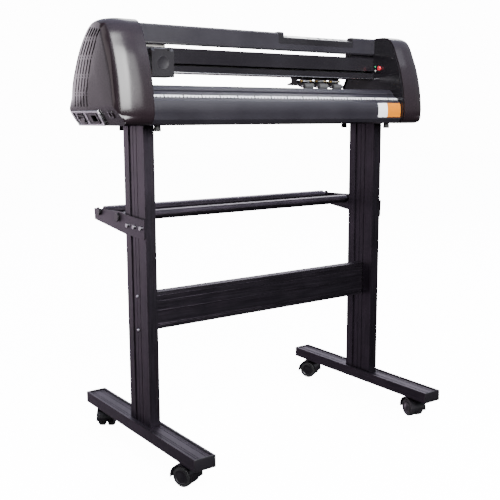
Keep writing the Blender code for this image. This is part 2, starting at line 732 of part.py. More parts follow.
def motor_body(name, low, high, shaft_axis, shaft_face, material=STEEL, **place):
    """A square stepper motor with a blind bore for its shaft, centred on local zero."""
    half = MOTOR_SIDE / 2
    cut = 0.005
    outline = [(-half + cut, -half), (half - cut, -half), (half, -half + cut), (half, half - cut)]
    outline += [(half - cut, half), (-half + cut, half), (-half, half - cut), (-half, -half + cut)]
    body = extruded(name, [outline], shaft_axis, low, high, material, **place)
    depth = 0.016 if shaft_face < high else -0.016
    start = [0, 0, 0]
    end = [0, 0, 0]
    index = "XYZ".index(shaft_axis)
    start[index] = shaft_face - depth
    end[index] = shaft_face + depth
    boolean(body, rod(f"{name}_bore", 0.0031, start, end, parent=body))
    return body


def feed_motor():
    """The motor that turns the media roller, on four spacers off the side plate."""
    y, z = feed_centre()
    body = motor_body("feed_motor", FEED_MOTOR_LOW_X, FEED_MOTOR_HIGH_X, "X", FEED_MOTOR_LOW_X, location=(0, y, z))
    plate = OPENING + PLATE_THICKNESS + GAP
    reach = MOTOR_SIDE / 2 - 0.0045
    for along, up in ((1, 1), (-1, 1), (1, -1)):
        start = (plate, along * reach, up * reach)
        end = (FEED_MOTOR_LOW_X + 0.002, along * reach, up * reach)
        boolean(body, rod("motor_spacer", 0.0028, start, end, sides=10, parent=body), "UNION")


# ----------------------------------------------------------- rail and carriage


def beam():
    """The box rail across the machine; its front slot lets the carriage reach the belt."""
    wall = BEAM_WALL
    outline = [(BEAM_FRONT, SLOT_BOTTOM), (BEAM_FRONT, BEAM_BOTTOM + 0.002), (BEAM_FRONT + 0.002, BEAM_BOTTOM)]
    outline += [(BEAM_REAR, BEAM_BOTTOM), (BEAM_REAR, 0.944), (BEAM_REAR - 0.0015, 0.944)]
    outline += [(BEAM_REAR - 0.0015, 0.948), (BEAM_REAR, 0.948), (BEAM_REAR, BEAM_TOP)]
    outline += [(BEAM_FRONT + 0.002, BEAM_TOP), (BEAM_FRONT, BEAM_TOP - 0.002), (BEAM_FRONT, SLOT_TOP)]
    inner_front = BEAM_FRONT + wall
    inner_rear = BEAM_REAR - wall
    outline += [(inner_front, SLOT_TOP), (inner_front, BEAM_TOP - wall), (inner_rear, BEAM_TOP - wall)]
    outline += [(inner_rear, BEAM_BOTTOM + wall), (inner_front, BEAM_BOTTOM + wall), (inner_front, SLOT_BOTTOM)]
    extruded("carriage_rail", [outline], "X", -BODY_END, BODY_END, BLACK_STEEL)


def belt():
    """A flat closed belt lying inside the rail, round both pulleys."""
    loops = []
    for radius in (BELT_RADIUS + BELT_THICKNESS, BELT_RADIUS + GAP):
        right = arc((IDLER_PULLEY_X, BELT_Y), radius, -90, 90, 8)
        left = arc((DRIVE_PULLEY_X, BELT_Y), radius, 90, 270, 8)
        loops.append(right + left)
    extruded("carriage_belt", loops, "Z", SLOT_BOTTOM, SLOT_TOP, BELT_RUBBER)


def pulley(name, x, low, high):
    """A flanged belt pulley on a short vertical shaft."""
    lip = BELT_RADIUS + 0.0022
    shaft = 0.0025
    profile = [(0, high), (shaft, high), (shaft, SLOT_TOP + 0.002), (lip, SLOT_TOP + 0.002), (lip, SLOT_TOP + 0.0008)]
    profile += [(BELT_RADIUS, SLOT_TOP + 0.0008), (BELT_RADIUS, SLOT_BOTTOM - 0.0008), (lip, SLOT_BOTTOM - 0.0008)]
    profile += [(lip, SLOT_BOTTOM - 0.002), (shaft, SLOT_BOTTOM - 0.002), (shaft, low), (0, low)]
    turned(name, profile, STEEL, steps=16, location=(x, BELT_Y, 0))


def belt_drive():
    top = SLOT_BOTTOM - 0.005
    pulley("belt_drive_pulley", DRIVE_PULLEY_X, top - 0.012, SLOT_TOP + 0.003)
    pulley("belt_idler_pulley", IDLER_PULLEY_X, BEAM_BOTTOM + BEAM_WALL + GAP, BEAM_TOP - BEAM_WALL - GAP)
    place = (DRIVE_PULLEY_X, BELT_Y, 0)
    body = motor_body("carriage_motor", top - 0.036, top, "Z", top, location=place)
    face = -(OPENING + PLATE_THICKNESS + GAP) - DRIVE_PULLEY_X
    low = (MOTOR_SIDE / 2 - 0.004, -0.021, top - 0.030)
    foot_plate = box("motor_foot", low, (face, 0.021, top - 0.012), parent=body)
    if face > MOTOR_SIDE / 2:
        boolean(body, foot_plate, "UNION")


def carriage():
    """The black box that travels along the rail, with a tongue through the slot to the belt."""
    rear = BEAM_FRONT - 0.001
    outline = [(CARRIAGE_FRONT, CARRIAGE_BOTTOM + 0.002), (CARRIAGE_FRONT + 0.002, CARRIAGE_BOTTOM)]
    outline += [(rear, CARRIAGE_BOTTOM), (rear, SLOT_BOTTOM + 0.0015), (BELT_Y - 0.0125, SLOT_BOTTOM + 0.0015)]
    outline += [(BELT_Y - 0.0125, SLOT_TOP - 0.0015), (rear, SLOT_TOP - 0.0015), (rear, CARRIAGE_TOP)]
    outline += [(CARRIAGE_FRONT + 0.006, CARRIAGE_TOP), (CARRIAGE_FRONT, CARRIAGE_TOP - 0.006)]
    body = extruded("carriage_body", [outline], "X", CARRIAGE_LEFT, CARRIAGE_RIGHT, BLACK_PLASTIC)
    notch_low = (CARRIAGE_LEFT + 0.008, CARRIAGE_FRONT - 0.01, CARRIAGE_TOP - 0.006)
    notch_high = (CARRIAGE_RIGHT - 0.010, CARRIAGE_FRONT + 0.012, CARRIAGE_TOP + 0.01)
    boolean(body, box("carriage_notch", notch_low, notch_high))
    guide_low = (CARRIAGE_LEFT - 0.01, BLADE_Y - 0.0075, 0.930)
    guide_high = (CARRIAGE_LEFT + 0.005, BLADE_Y + 0.0075, 0.974)
    boolean(body, box("tool_guide", guide_low, guide_high))


def tool_head():
    """The lifting block with the blade holder and its clamp screw."""
    tongue = CARRIAGE_LEFT + 0.0045
    low = (TOOL_X - 0.0095, BLADE_Y - 0.0095, 0.944)
    high = (CARRIAGE_LEFT - 0.0008, BLADE_Y + 0.0095, 0.962)
    block = box("tool_lift", low, high, BLACK_PLASTIC)
    low = (CARRIAGE_LEFT - 0.002, BLADE_Y - 0.0065, 0.940)
    key = box("lift_key", low, (tongue, BLADE_Y + 0.0065, 0.966))
    boolean(block, key, "UNION")
    boolean(block, rod("holder_bore", 0.0063, (TOOL_X, BLADE_Y, 0.93), (TOOL_X, BLADE_Y, 0.98), sides=20))
    front = BLADE_Y - 0.0095
    boolean(block, rod("clamp_bore", 0.0022, (TOOL_X, front - 0.01, 0.953), (TOOL_X, BLADE_Y - 0.004, 0.953), sides=12))
    tip = TOOL_TIP_Z
    profile = [(0, 0.984), (0.0045, 0.984), (0.005, 0.983), (0.005, 0.970), (0.0075, 0.969), (0.0075, 0.9635)]
    profile += [(0.0056, 0.9632), (0.0056, 0.925), (0.0042, 0.920), (0.0042, 0.912), (0.0012, tip + 0.004), (0.0004, tip), (0, tip)]
    turned("blade_holder", profile, BRASS, steps=18, location=(TOOL_X, BLADE_Y, 0))
    profile = [(0, 0.0125), (0.0052, 0.0125), (0.006, 0.0115), (0.006, 0.0035), (0.005, 0.0025), (0.0018, 0.0022)]
    profile += [(0.0018, -0.0028), (0, -0.0028)]
    turned("clamp_knob", profile, BLACK_PLASTIC, steps=14, location=(TOOL_X, front, 0.953), rotation=(90, 0, 0))


# ---------------------------------------------------------------- pinch rollers


def pinch_unit(number, x):
    """A bracket hooked on the rail's back edge, a spring-loaded arm and its rubber roller."""
    y, z = PINCH_PIVOT
    top = BEAM_BOTTOM - GAP
    ear = 0.0235
    outline = [(0.026, top - 0.0035), (0.0555, top - 0.0035), (0.0555, 0.9515), (BEAM_REAR + GAP, 0.9515)]
    outline += [(BEAM_REAR + GAP, top), (0.026, top)]
    name = f"pinch_bracket_{number}"
    bracket = extruded(name, [outline], "X", -ear, ear, BLACK_STEEL, location=(x, 0, 0))
    for side in (-1, 1):
        low, high = sorted((side * ear, side * (ear - 0.0025)))
        plate = box(f"{name}_ear", (low, y - 0.0125, z - 0.0075), (high, y + 0.0125, top - 0.001), parent=bracket)
        boolean(bracket, plate, "UNION")
    pin = rod(f"{name}_pin", 0.002, (-ear + 0.001, y, z), (ear - 0.001, y, z), sides=10, parent=bracket)
    boolean(bracket, pin, "UNION")

    half = 0.0198
    front = GRIT_Y - y
    drop = PINCH_Z - z
    arm_outline = [(front - 0.0045, drop - 0.003), (front + 0.006, drop - 0.0045), (0.0, -0.0055), (0.006, -0.0055)]
    arm_outline += [(0.034, -0.0075), (0.036, -0.0045), (0.008, 0.0030), (0.003, 0.0048), (-0.004, 0.0048)]
    arm_outline += [(-0.012, 0.002), (front + 0.003, drop + 0.0045), (front - 0.004, drop + 0.004)]
    bore = circle((0, 0), 0.0026, 12)
    axle_bore = circle((front, drop), 0.0022, 10)
    name = f"pinch_arm_{number}"
    arm = extruded(name, [arm_outline, bore, axle_bore], "X", -half, half, BLACK_PLASTIC, location=(x, y, z))
    fork = 0.0150
    room_low = (-fork, front - 0.012, drop - 0.012)
    boolean(arm, box(f"{name}_fork", room_low, (fork, front + 0.0098, drop + 0.012), parent=arm))
    name = f"pinch_roller_{number}"
    journal = (half - 0.0005, 0.0017)  # end and radius of the pin moulded into the roller
    rim = fork - 0.0005
    profile = [(0, journal[0]), (journal[1], journal[0]), (journal[1], rim), (PINCH_RADIUS - 0.001, rim)]
    profile += [(PINCH_RADIUS, rim - 0.001)]
    profile += [(radius, -height) for radius, height in reversed(profile)]
    turned(name, profile, ROLLER_RUBBER, steps=16, location=(x, GRIT_Y, PINCH_Z), rotation=(0, 90, 0))


# ------------------------------------------------------- top cover and controls


def top_cover():
    """A long folded cover between the side plates, cut away where the panel sits."""
    wall = 0.0025
    outer = [(COVER_FRONT, COVER_LIP_Z), (COVER_FRONT + wall, COVER_LIP_Z), (COVER_FRONT + wall, TOP_Z - wall - 0.002)]
    outer += [(COVER_FRONT + wall + 0.002, TOP_Z - wall), (0.0095, TOP_Z - wall), (0.0445, 1.0095), (0.0465, 1.0105)]
    outer += [(0.0118, TOP_Z - 0.0012), (0.0085, TOP_Z), (COVER_FRONT + 0.004, TOP_Z), (COVER_FRONT, TOP_Z - 0.004)]
    cover = extruded("top_cover", [outer], "X", -BODY_END, BODY_END, SLATE)
    low = (PANEL_LEFT - GAP, -0.030, 1.0145)
    boolean(cover, box("panel_cutout", low, (PANEL_RIGHT + GAP, 0.080, 1.080)))


def panel_frame():
    """An empty at the front edge of the key face: local Y up the slope, local Z out of it."""
    return empty("panel_face", (0, *PANEL_EDGE), (PANEL_SLOPE, 0, 0))


def control_panel():
    """The moulded panel with a raised lip at its left end and a sloping face for display and keys."""
    y, z = PANEL_EDGE
    climb = math.radians(PANEL_SLOPE)
    up = (y + 0.022 * math.cos(climb), z + 0.022 * math.sin(climb))
    wall = 0.0025
    bottom = 1.0148
    outer = [(COVER_FRONT, bottom), (COVER_FRONT, z - 0.0025), (COVER_FRONT + 0.0007, z - 0.0006), (y, z), up]
    outer += [(0.0215, 1.0325), (0.0396, bottom), (0.0360, bottom), (0.0200, 1.0295), (0.0155, up[1] - 0.0035)]
    outer += [(y + 0.0012, z - 0.0032), (COVER_FRONT + wall, z - 0.0045), (COVER_FRONT + wall, bottom)]
    panel = extruded("control_panel", [outer], "X", PANEL_LEFT + 0.002, PANEL_RIGHT - 0.002, BLACK_PLASTIC)
    proud = COVER_FRONT - GAP
    cheek = [(proud, bottom + GAP), (proud, TOP_Z - 0.004), (proud + 0.004, TOP_Z), (0.0085, TOP_Z)]
    cheek += [(0.0118, TOP_Z - 0.0012), (0.0398, bottom + GAP)]
    raised = [(a, b + (0.0022 if b > 1.03 else 0)) for a, b in cheek]
    boolean(panel, extruded("left_lip", [raised], "X", PANEL_LEFT, PANEL_LEFT + 0.016), "UNION")
    boolean(panel, extruded("right_cheek", [cheek], "X", PANEL_RIGHT - 0.004, PANEL_RIGHT), "UNION")
    face = panel_frame()
    deep, high = -0.0150, 0.0150
    window = (0.082, 0.0035, 0.150, 0.0185)
    opening = box("display_hole", (window[0], window[1], deep), (window[2], window[3], high), parent=face)
    boolean(panel, opening)
    low = (window[0] + GAP, window[1] + GAP, -0.0035)
    box("display_window", low, (window[2] - GAP, window[3] - GAP, -0.0004), SCREEN, parent=face)
    for name, x, y in panel_keys():
        half = KEY_SIZE / 2
        hole = (half + 0.0005, half + 0.0005)
        low = (x - hole[0], y - hole[1], deep)
        boolean(panel, box(f"{name}_hole", low, (x + hole[0], y + hole[1], high), parent=face))
        low = (-half, -half, -0.0040)
        key = box(name, low, (half, half, 0.0016), KEY_GREY, location=(x, y, 0), parent=face)
        edge = key.modifiers.new("edge", "BEVEL")
        edge.width = 0.0008
        edge.segments = 1
        edge.limit_method = "ANGLE"


KEY_SIZE = 0.0085


def panel_keys():
    """Each key's name and its centre on the sloping face."""
    middle = 0.011
    yield "left_key", 0.192, middle
    yield "right_key", 0.216, middle
    yield "origin_key", 0.246, middle
    yield "pause_key", 0.272, middle


def stop_button():
    """The red button in the right side plate, pressed to the right."""
    y, z = STOP_BUTTON
    profile = [(0, 0.0105), (0.0034, 0.0105), (0.0034, -0.0008), (0.0062, -0.0008), (0.0062, -0.0040), (0.0052, -0.0052)]
    profile += [(0, -0.0056)]
    turned("stop_button", profile, RED, steps=16, location=(OPENING - 0.0022, y, z), rotation=(0, 90, 0))


# ------------------------------------------------------------------ electronics


def main_board():
    """The control and supply board on spacers off the left side plate."""
    face = -(OPENING + PLATE_THICKNESS + GAP)
    low = (face - 0.012, -0.088, 0.862)
    high = (face - 0.010, -0.008, 0.962)
    board = box("main_board", low, high, BOARD_GREEN)
    for y in (-0.082, -0.014):
        for z in (0.868, 0.956):
            start = (face - 0.0105, y, z)
            boolean(board, rod("board_spacer", 0.003, start, (face, y, z), sides=8), "UNION")
    blocks = (("transformer", 0.024, (-0.060, 0.892), (0.036, 0.034)), ("capacitor", 0.020, (-0.026, 0.880), (0.016, 0.016)))
    blocks += (("processor", 0.004, (-0.040, 0.936), (0.022, 0.022)), ("heat_sink", 0.016, (-0.076, 0.940), (0.012, 0.030)))
    for name, tall, (y, z), (wide, high_side) in blocks:
        low = (face - 0.0115 - tall, y - wide / 2, z - high_side / 2)
        high = (face - 0.011, y + wide / 2, z + high_side / 2)
        boolean(board, box(name, low, high), "UNION")


# ------------------------------------------------------------------------ build


def build_stand():
    for side, sign in (("left", -1), ("right", 1)):
        foot(side, sign)
        post(side, sign)
        roll_arm(side, sign)
        arm_screws(side, sign)
    crossbar()
    roll_tube("front_roll_tube", FRONT_TUBE)
    roll_tube("rear_roll_tube", REAR_TUBE)
    casters()


def build_machine():
    base_housing()
    cutting_strip()
    ruler_strip()
    grit_roller()
    feed_gears()
    feed_motor()
    beam()
    belt()
    belt_drive()
    carriage()
    tool_head()
    for number, x in enumerate(PINCH_X, 1):
        pinch_unit(number, x)
    top_cover()
    control_panel()
    stop_button()
    main_board()
    for side, sign in (("left", -1), ("right", 1)):
        side_plate(side, sign)
    cover_shell("right_cover", 1)
    left = cover_shell("left_cover", -1)
    boolean(left, vent_cutter())
    power_entry(left)


build_stand()
build_machine()
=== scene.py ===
import json
import math

import bmesh
import bpy
import numpy as np
from mathutils import Matrix, Vector


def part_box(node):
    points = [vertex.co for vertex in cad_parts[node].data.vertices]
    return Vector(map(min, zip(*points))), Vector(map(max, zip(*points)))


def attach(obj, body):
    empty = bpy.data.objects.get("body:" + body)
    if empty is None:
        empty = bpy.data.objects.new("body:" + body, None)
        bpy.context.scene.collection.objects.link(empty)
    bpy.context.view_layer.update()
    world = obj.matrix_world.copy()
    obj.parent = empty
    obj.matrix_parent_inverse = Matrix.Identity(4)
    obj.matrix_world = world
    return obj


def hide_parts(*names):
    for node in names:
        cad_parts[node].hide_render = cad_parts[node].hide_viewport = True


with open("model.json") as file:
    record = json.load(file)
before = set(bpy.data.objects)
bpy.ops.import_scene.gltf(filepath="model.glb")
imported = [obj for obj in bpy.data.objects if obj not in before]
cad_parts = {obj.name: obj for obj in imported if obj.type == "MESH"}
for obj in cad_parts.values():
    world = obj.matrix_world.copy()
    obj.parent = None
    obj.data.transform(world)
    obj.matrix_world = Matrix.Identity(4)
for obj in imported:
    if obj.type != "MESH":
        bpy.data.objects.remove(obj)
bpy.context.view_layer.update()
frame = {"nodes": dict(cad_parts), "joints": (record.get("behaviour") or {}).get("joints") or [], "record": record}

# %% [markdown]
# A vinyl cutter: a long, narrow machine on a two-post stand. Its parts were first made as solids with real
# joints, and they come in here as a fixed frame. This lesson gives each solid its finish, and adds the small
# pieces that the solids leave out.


nodes = frame["nodes"]

# %% [markdown]
# The camera stands to the left of the machine and a little above its bed, about two metres away, and looks
# slightly down. A moderately long lens keeps the posts almost parallel. Euler angles say where it points: the
# first tips it up from straight down, the last turns it about the vertical.

# %% Camera
CAMERA_PLACE = (-1.2625, -1.7055, 0.8276)
CAMERA_TILT = 80.66
CAMERA_TURN = -35.57
CAMERA_ROLL = -0.204
camera_data = bpy.data.cameras.new("camera")
camera_data.lens = 58.2
camera_data.sensor_width = 36.0
camera = bpy.data.objects.new("camera", camera_data)
bpy.context.scene.collection.objects.link(camera)
tip = Matrix.Rotation(math.radians(CAMERA_TURN), 4, "Z") @ Matrix.Rotation(math.radians(CAMERA_TILT), 4, "X")
roll = Matrix.Rotation(math.radians(CAMERA_ROLL), 4, "Z")
camera.matrix_world = Matrix.Translation(CAMERA_PLACE) @ tip @ roll
bpy.context.scene.camera = camera
print("camera", [round(value, 3) for value in camera.location], "lens", camera_data.lens)

# %% [markdown]
# Every finish is a small tree of shader nodes, and the trees share a few steps: noise in metres, a colour
# ramp, a value moved to another range, a bump. These helpers add one such step each. A finish then reads as a
# few lines, and its settings stand out.

# %% Helpers for node materials
def new_material(name):
    """An empty material with its node tree, principled shader and output joined up."""
    material = bpy.data.materials.new(name)
    material.use_nodes = True
    tree = material.node_tree
    shader = next(node for node in tree.nodes if node.type == "BSDF_PRINCIPLED")
    return material, tree, shader


def node(tree, kind, **settings):
    """A shader node; settings name its properties, or its input sockets where there is no such property."""
    made = tree.nodes.new("ShaderNode" + kind)
    for key, value in settings.items():
        if hasattr(made, key):
            setattr(made, key, value)
        else:
            made.inputs[key.replace("_", " ")].default_value = value
    return made


def position(tree, scale=(1, 1, 1)):
    """Coordinates in metres on the object itself, stretched by scale, so grain has one size everywhere."""
    source = node(tree, "TexCoord")
    mapping = node(tree, "Mapping")
    mapping.inputs["Scale"].default_value = scale
    tree.links.new(source.outputs["Object"], mapping.inputs["Vector"])
    return mapping.outputs["Vector"]


def noise(tree, vector, scale, detail=3.0):
    """Soft noise at so many waves per metre."""
    made = node(tree, "TexNoise", Scale=scale, Detail=detail, Roughness=0.5)
    tree.links.new(vector, made.inputs["Vector"])
    return made.outputs["Fac"]


def ramp(tree, value, stops):
    """A colour ramp through (position, colour) stops."""
    made = node(tree, "ValToRGB")
    elements = made.color_ramp.elements
    while len(elements) < len(stops):
        elements.new(0.5)
    for element, (place, colour) in zip(elements, stops):
        element.position = place
        element.color = (*colour, 1) if len(colour) == 3 else colour
    tree.links.new(value, made.inputs["Fac"])
    return made.outputs["Color"]


def spread(tree, value, low, high, from_low=0.3, from_high=0.7):
    """A value moved from one range to another."""
    made = node(tree, "MapRange")
    made.inputs["From Min"].default_value = from_low
    made.inputs["From Max"].default_value = from_high
    made.inputs["To Min"].default_value = low
    made.inputs["To Max"].default_value = high
    tree.links.new(value, made.inputs["Value"])
    return made.outputs["Result"]


def maths(tree, operation, first, second=None):
    """One sum on sockets or plain numbers."""
    made = node(tree, "Math", operation=operation)
    for socket, value in zip(made.inputs, (first, second)):
        if isinstance(value, bpy.types.NodeSocket):
            tree.links.new(value, socket)
        elif value is not None:
            socket.default_value = value
    return made.outputs[0]


def axes(tree, place):
    """The X, Y and Z of a place, as sockets by name."""
    split = node(tree, "SeparateXYZ")
    tree.links.new(place, split.inputs["Vector"])
    return split.outputs


def relief(tree, shader, height, distance):
    """Bump from a height value, distance in metres."""
    made = node(tree, "Bump")
    made.inputs["Distance"].default_value = distance
    made.inputs["Strength"].default_value = 1.0
    tree.links.new(height, made.inputs["Height"])
    tree.links.new(made.outputs["Normal"], shader.inputs["Normal"])


def link(tree, value, shader, socket):
    """Joins a value to a socket of the shader."""
    tree.links.new(value, shader.inputs[socket])


def mixed(tree, factor, first, second, blend="MIX"):
    """Two colours mixed by a factor. Sockets 0, 6 and 7 are the factor and the two colours."""
    made = tree.nodes.new("ShaderNodeMix")
    made.data_type = "RGBA"
    made.blend_type = blend
    for index, value in ((0, factor), (6, first), (7, second)):
        if isinstance(value, bpy.types.NodeSocket):
            tree.links.new(value, made.inputs[index])
        elif isinstance(value, tuple):
            made.inputs[index].default_value = (*value, 1)
        else:
            made.inputs[index].default_value = value
    return made.outputs[2]


print("node helpers ready")


# %% [markdown]
# The look is white and without a shadow, so the floor and the backdrop are so bright that they burn out to
# white. Black gloss shows mostly what it reflects, so the world is a second, darker picture that only the
# surfaces see: a dim dome, and a bright wall far behind the machine that lights the slanting edges.

# %% Floor and light
FLOOR_GLOW = 13.0
BACKDROP_GLOW = 14.0
DOME_STOPS = [(0.0, (0.02, 0.02, 0.022)), (0.25, (0.03, 0.03, 0.033)), (0.30, (0.16, 0.155, 0.16))]
DOME_STOPS += [(0.36, (0.28, 0.28, 0.30)), (0.6, (0.50, 0.52, 0.62)), (1.0, (0.8, 0.88, 1.2))]
BEHIND_STOPS = [(0.1, 0), (0.4, 0.055), (0.895, 0.06), (0.925, 0.14), (0.955, 0.6), (0.975, 1)]
WALL_STOPS = [(0.05, (4.0, 3.4, 4.1)), (0.25, (5.0, 4.2, 5.0)), (0.33, (4.8, 4.2, 4.7))]
WALL_STOPS += [(0.8, (4.5, 4.6, 5.4))]


def grey(stops):
    """Stops with one number each, as stops with a grey."""
    return [(place, (share, share, share)) for place, share in stops]


def floor_sheet(size=14.0, divisions=2):
    """One big flat sheet under the casters."""
    bm = bmesh.new()
    bmesh.ops.create_grid(bm, x_segments=divisions, y_segments=divisions, size=size)
    mesh = bpy.data.meshes.new("floor")
    bm.to_mesh(mesh)
    bm.free()
    made = bpy.data.objects.new("floor", mesh)
    bpy.context.scene.collection.objects.link(made)
    return made


floor = floor_sheet()
floor_paint, floor_tree, floor_shader = new_material("pale_floor")
floor_cloud = noise(floor_tree, position(floor_tree), 1.5)
floor_tone = ramp(floor_tree, floor_cloud, [(0.3, (0.93, 0.93, 0.935)), (0.7, (0.95, 0.95, 0.95))])
link(floor_tree, floor_tone, floor_shader, "Base Color")
floor_shader.inputs["Roughness"].default_value = 0.9
floor_shader.inputs["Specular IOR Level"].default_value = 0.1
floor_shader.inputs["Emission Color"].default_value = (1, 1, 1, 1)
floor_shader.inputs["Emission Strength"].default_value = FLOOR_GLOW
floor.data.materials.append(floor_paint)

floor.visible_glossy = False
floor.visible_diffuse = False

world = bpy.data.worlds.new("studio")
world.use_nodes = True
sky = world.node_tree
backdrop = sky.nodes["Background"]
backdrop.inputs["Color"].default_value = (1, 1, 1, 1)
backdrop.inputs["Strength"].default_value = BACKDROP_GLOW
dome = sky.nodes.new("ShaderNodeBackground")
heading = axes(sky, sky.nodes.new("ShaderNodeTexCoord").outputs["Generated"])
up = spread(sky, heading["Z"], 0, 1, -0.4, 1.0)
left = spread(sky, heading["X"], 0.15, 1.0, -0.8, -0.4)
behind = ramp(sky, heading["Y"], grey(BEHIND_STOPS))
dimmed = ramp(sky, left, grey([(0, 0), (1, 1)]))
sides = mixed(sky, 1.0, ramp(sky, up, DOME_STOPS), dimmed, "MULTIPLY")
sky.links.new(mixed(sky, behind, sides, ramp(sky, up, WALL_STOPS)), dome.inputs["Color"])
seen = sky.nodes.new("ShaderNodeLightPath")
either = sky.nodes.new("ShaderNodeMixShader")
sky.links.new(seen.outputs["Is Camera Ray"], either.inputs["Fac"])
sky.links.new(dome.outputs["Background"], either.inputs[1])
sky.links.new(backdrop.outputs["Background"], either.inputs[2])
sky.links.new(either.outputs["Shader"], sky.nodes["World Output"].inputs["Surface"])
bpy.context.scene.world = world


def area_light(name, place, aim, size, power, colour=(1, 1, 1)):
    """A soft box at place, facing aim."""
    data = bpy.data.lights.new(name, "AREA")
    data.shape = "RECTANGLE"
    data.size, data.size_y = size
    data.energy = power
    data.color = colour
    made = bpy.data.objects.new(name, data)
    bpy.context.scene.collection.objects.link(made)
    direction = Vector(aim) - Vector(place)
    turn = direction.to_track_quat("-Z", "Y").to_matrix().to_4x4()
    made.matrix_world = Matrix.Translation(place) @ turn
    return made


area_light("front_box", (-1.15, -2.8, 2.4), (-0.4, 0, 0.95), (1.9, 2.6), 350)
area_light("front_fill", (0.1, -3.2, 2.4), (-0.3, 0, 0.95), (1.6, 2.2), 50)
area_light("left_box", (-3.0, 1.4, 1.6), (-0.4, 0, 0.7), (1.6, 2.4), 14, (1, 0.88, 0.88))
area_light("top_back_box", (2.2, 2.0, 3.3), (0.1, 0, 1.0), (2.2, 2.2), 120)
area_light("right_box", (2.2, -2.0, 3.2), (0.4, 0, 0.95), (1.6, 1.2), 14, (0.92, 0.95, 1))

# %% [markdown]
# Most of the machine is black, and what tells the parts apart is how each one shines. Anodised extrusions
# carry fine lines along their length, because they are drawn through a die. Noise that is squeezed along one
# axis makes such lines, so each direction of extrusion has its own material.

# %% Black anodised extrusion
def anodised(name, along, colour=(0.051, 0.045, 0.056)):
    """Black anodised aluminium with drawing lines along one axis (0, 1 or 2)."""
    material, tree, shader = new_material(name)
    stretch = [1.0, 1.0, 1.0]
    stretch[along] = 0.012
    lines = noise(tree, position(tree, stretch), 900, 4)
    cloud = noise(tree, position(tree), 14, 3)
    warm = tuple(value * factor for value, factor in zip(colour, (1.4, 1.3, 1.35)))
    tone = ramp(tree, cloud, [(0.3, colour), (0.72, warm)])
    fine = ramp(tree, lines, [(0.35, (0.86, 0.86, 0.86)), (0.65, (1.2, 1.2, 1.2))])
    link(tree, mixed(tree, 1.0, tone, fine, "MULTIPLY"), shader, "Base Color")
    shader.inputs["Metallic"].default_value = 1.0
    link(tree, spread(tree, lines, 0.34, 0.46), shader, "Roughness")
    relief(tree, shader, lines, 0.00003)
    return material


anodised_z = anodised("anodised_upright", 2)
anodised_y = anodised("anodised_foot", 1)
anodised_x = anodised("anodised_cross", 0)
print("anodised", anodised_x.name, anodised_y.name, anodised_z.name)

# %% [markdown]
# Moulded parts are satin with a very fine grain, which the mould gets from spark erosion. Noise for the bump
# and slower noise for tone and gloss keep the surface from looking like one flat colour.

# %% Moulded plastic
def moulded(name, colour, roughness=(0.3, 0.38), grain=1500, depth=0.00002, coat=0.0, scuff=0.15):
    """Moulded plastic with a spark-eroded grain and a faint cloudiness."""
    material, tree, shader = new_material(name)
    place = position(tree)
    speck = noise(tree, place, grain, 2)
    cloud = noise(tree, place, 9, 4)
    bright = tuple(min(1.0, value * (1 + scuff * 2) + 0.001) for value in colour)
    link(tree, ramp(tree, cloud, [(0.35, colour), (0.75, bright)]), shader, "Base Color")
    link(tree, spread(tree, cloud, *roughness), shader, "Roughness")
    shader.inputs["Coat Weight"].default_value = coat
    shader.inputs["Coat Roughness"].default_value = 0.2
    relief(tree, shader, speck, depth)
    return material


cover_black = moulded("cover_black", (0.012, 0.008, 0.010), (0.17, 0.22), depth=0.000008)
black_plastic = moulded("black_plastic", (0.009, 0.008, 0.010), (0.28, 0.4))
key_grey = moulded("key_grey", (0.28, 0.29, 0.31), (0.4, 0.5))
red_button = moulded("red_button", (0.72, 0.015, 0.035), (0.2, 0.3), coat=0.5)
rubber_black = moulded("rubber_black", (0.018, 0.018, 0.018), (0.6, 0.75), 700, 0.00005)
tread = moulded("tread", (0.016, 0.016, 0.017), (0.5, 0.65), 500, 0.00004)
roller_rubber = moulded("roller_rubber", (0.045, 0.045, 0.047), (0.6, 0.8), 900, 0.00005)
print("moulded", cover_black.name, black_plastic.name, key_grey.name, red_button.name)

# %% [markdown]
# Painted steel is smoother than moulded plastic and uses the same recipe with a coarser grain. Bare metal is
# fully metallic, and its noise changes both tone and gloss a little. The last few finishes are for small
# parts: the circuit board, the cutting strip, the scale and the screen.

# %% Painted and plain steel
slate = moulded("slate_paint", (0.015, 0.0135, 0.018), (0.34, 0.44), 800, 0.00002)
black_steel = moulded("black_steel", (0.008, 0.007, 0.009), (0.18, 0.26), 600, 0.00002)


def bare_metal(name, colour, roughness=(0.22, 0.36), grain=500, depth=0.00002):
    """Bare metal with a fine directionless grain."""
    material, tree, shader = new_material(name)
    speck = noise(tree, position(tree), grain, 5)
    dark = tuple(value * 0.82 for value in colour)
    link(tree, ramp(tree, speck, [(0.35, dark), (0.65, colour)]), shader, "Base Color")
    shader.inputs["Metallic"].default_value = 1.0
    link(tree, spread(tree, speck, *roughness), shader, "Roughness")
    relief(tree, shader, speck, depth)
    return material


bright_steel = bare_metal("bright_steel", (0.82, 0.82, 0.85))
grit_steel = bare_metal("grit_steel", (0.42, 0.42, 0.44), (0.5, 0.7), 2500, depth=0.0001)
brass = bare_metal("brass", (0.72, 0.52, 0.2))
board_green = moulded("board_green", (0.015, 0.11, 0.045), (0.3, 0.4), 300)
strip_white = moulded("strip_white", (0.68, 0.68, 0.66), (0.5, 0.6))
rule_white = moulded("rule_white", (0.74, 0.74, 0.77), (0.35, 0.45))
screen = moulded("screen", (0.09, 0.14, 0.12), (0.08, 0.14), coat=1.0)
print("steel and small parts", slate.name, bright_steel.name, brass.name, screen.name)

# %% [markdown]
# The record of the solids names a slot for each one, so a table from slot to finish dresses all of them in
# one loop. Anodised parts need the material that has the right direction, so they are listed by name.

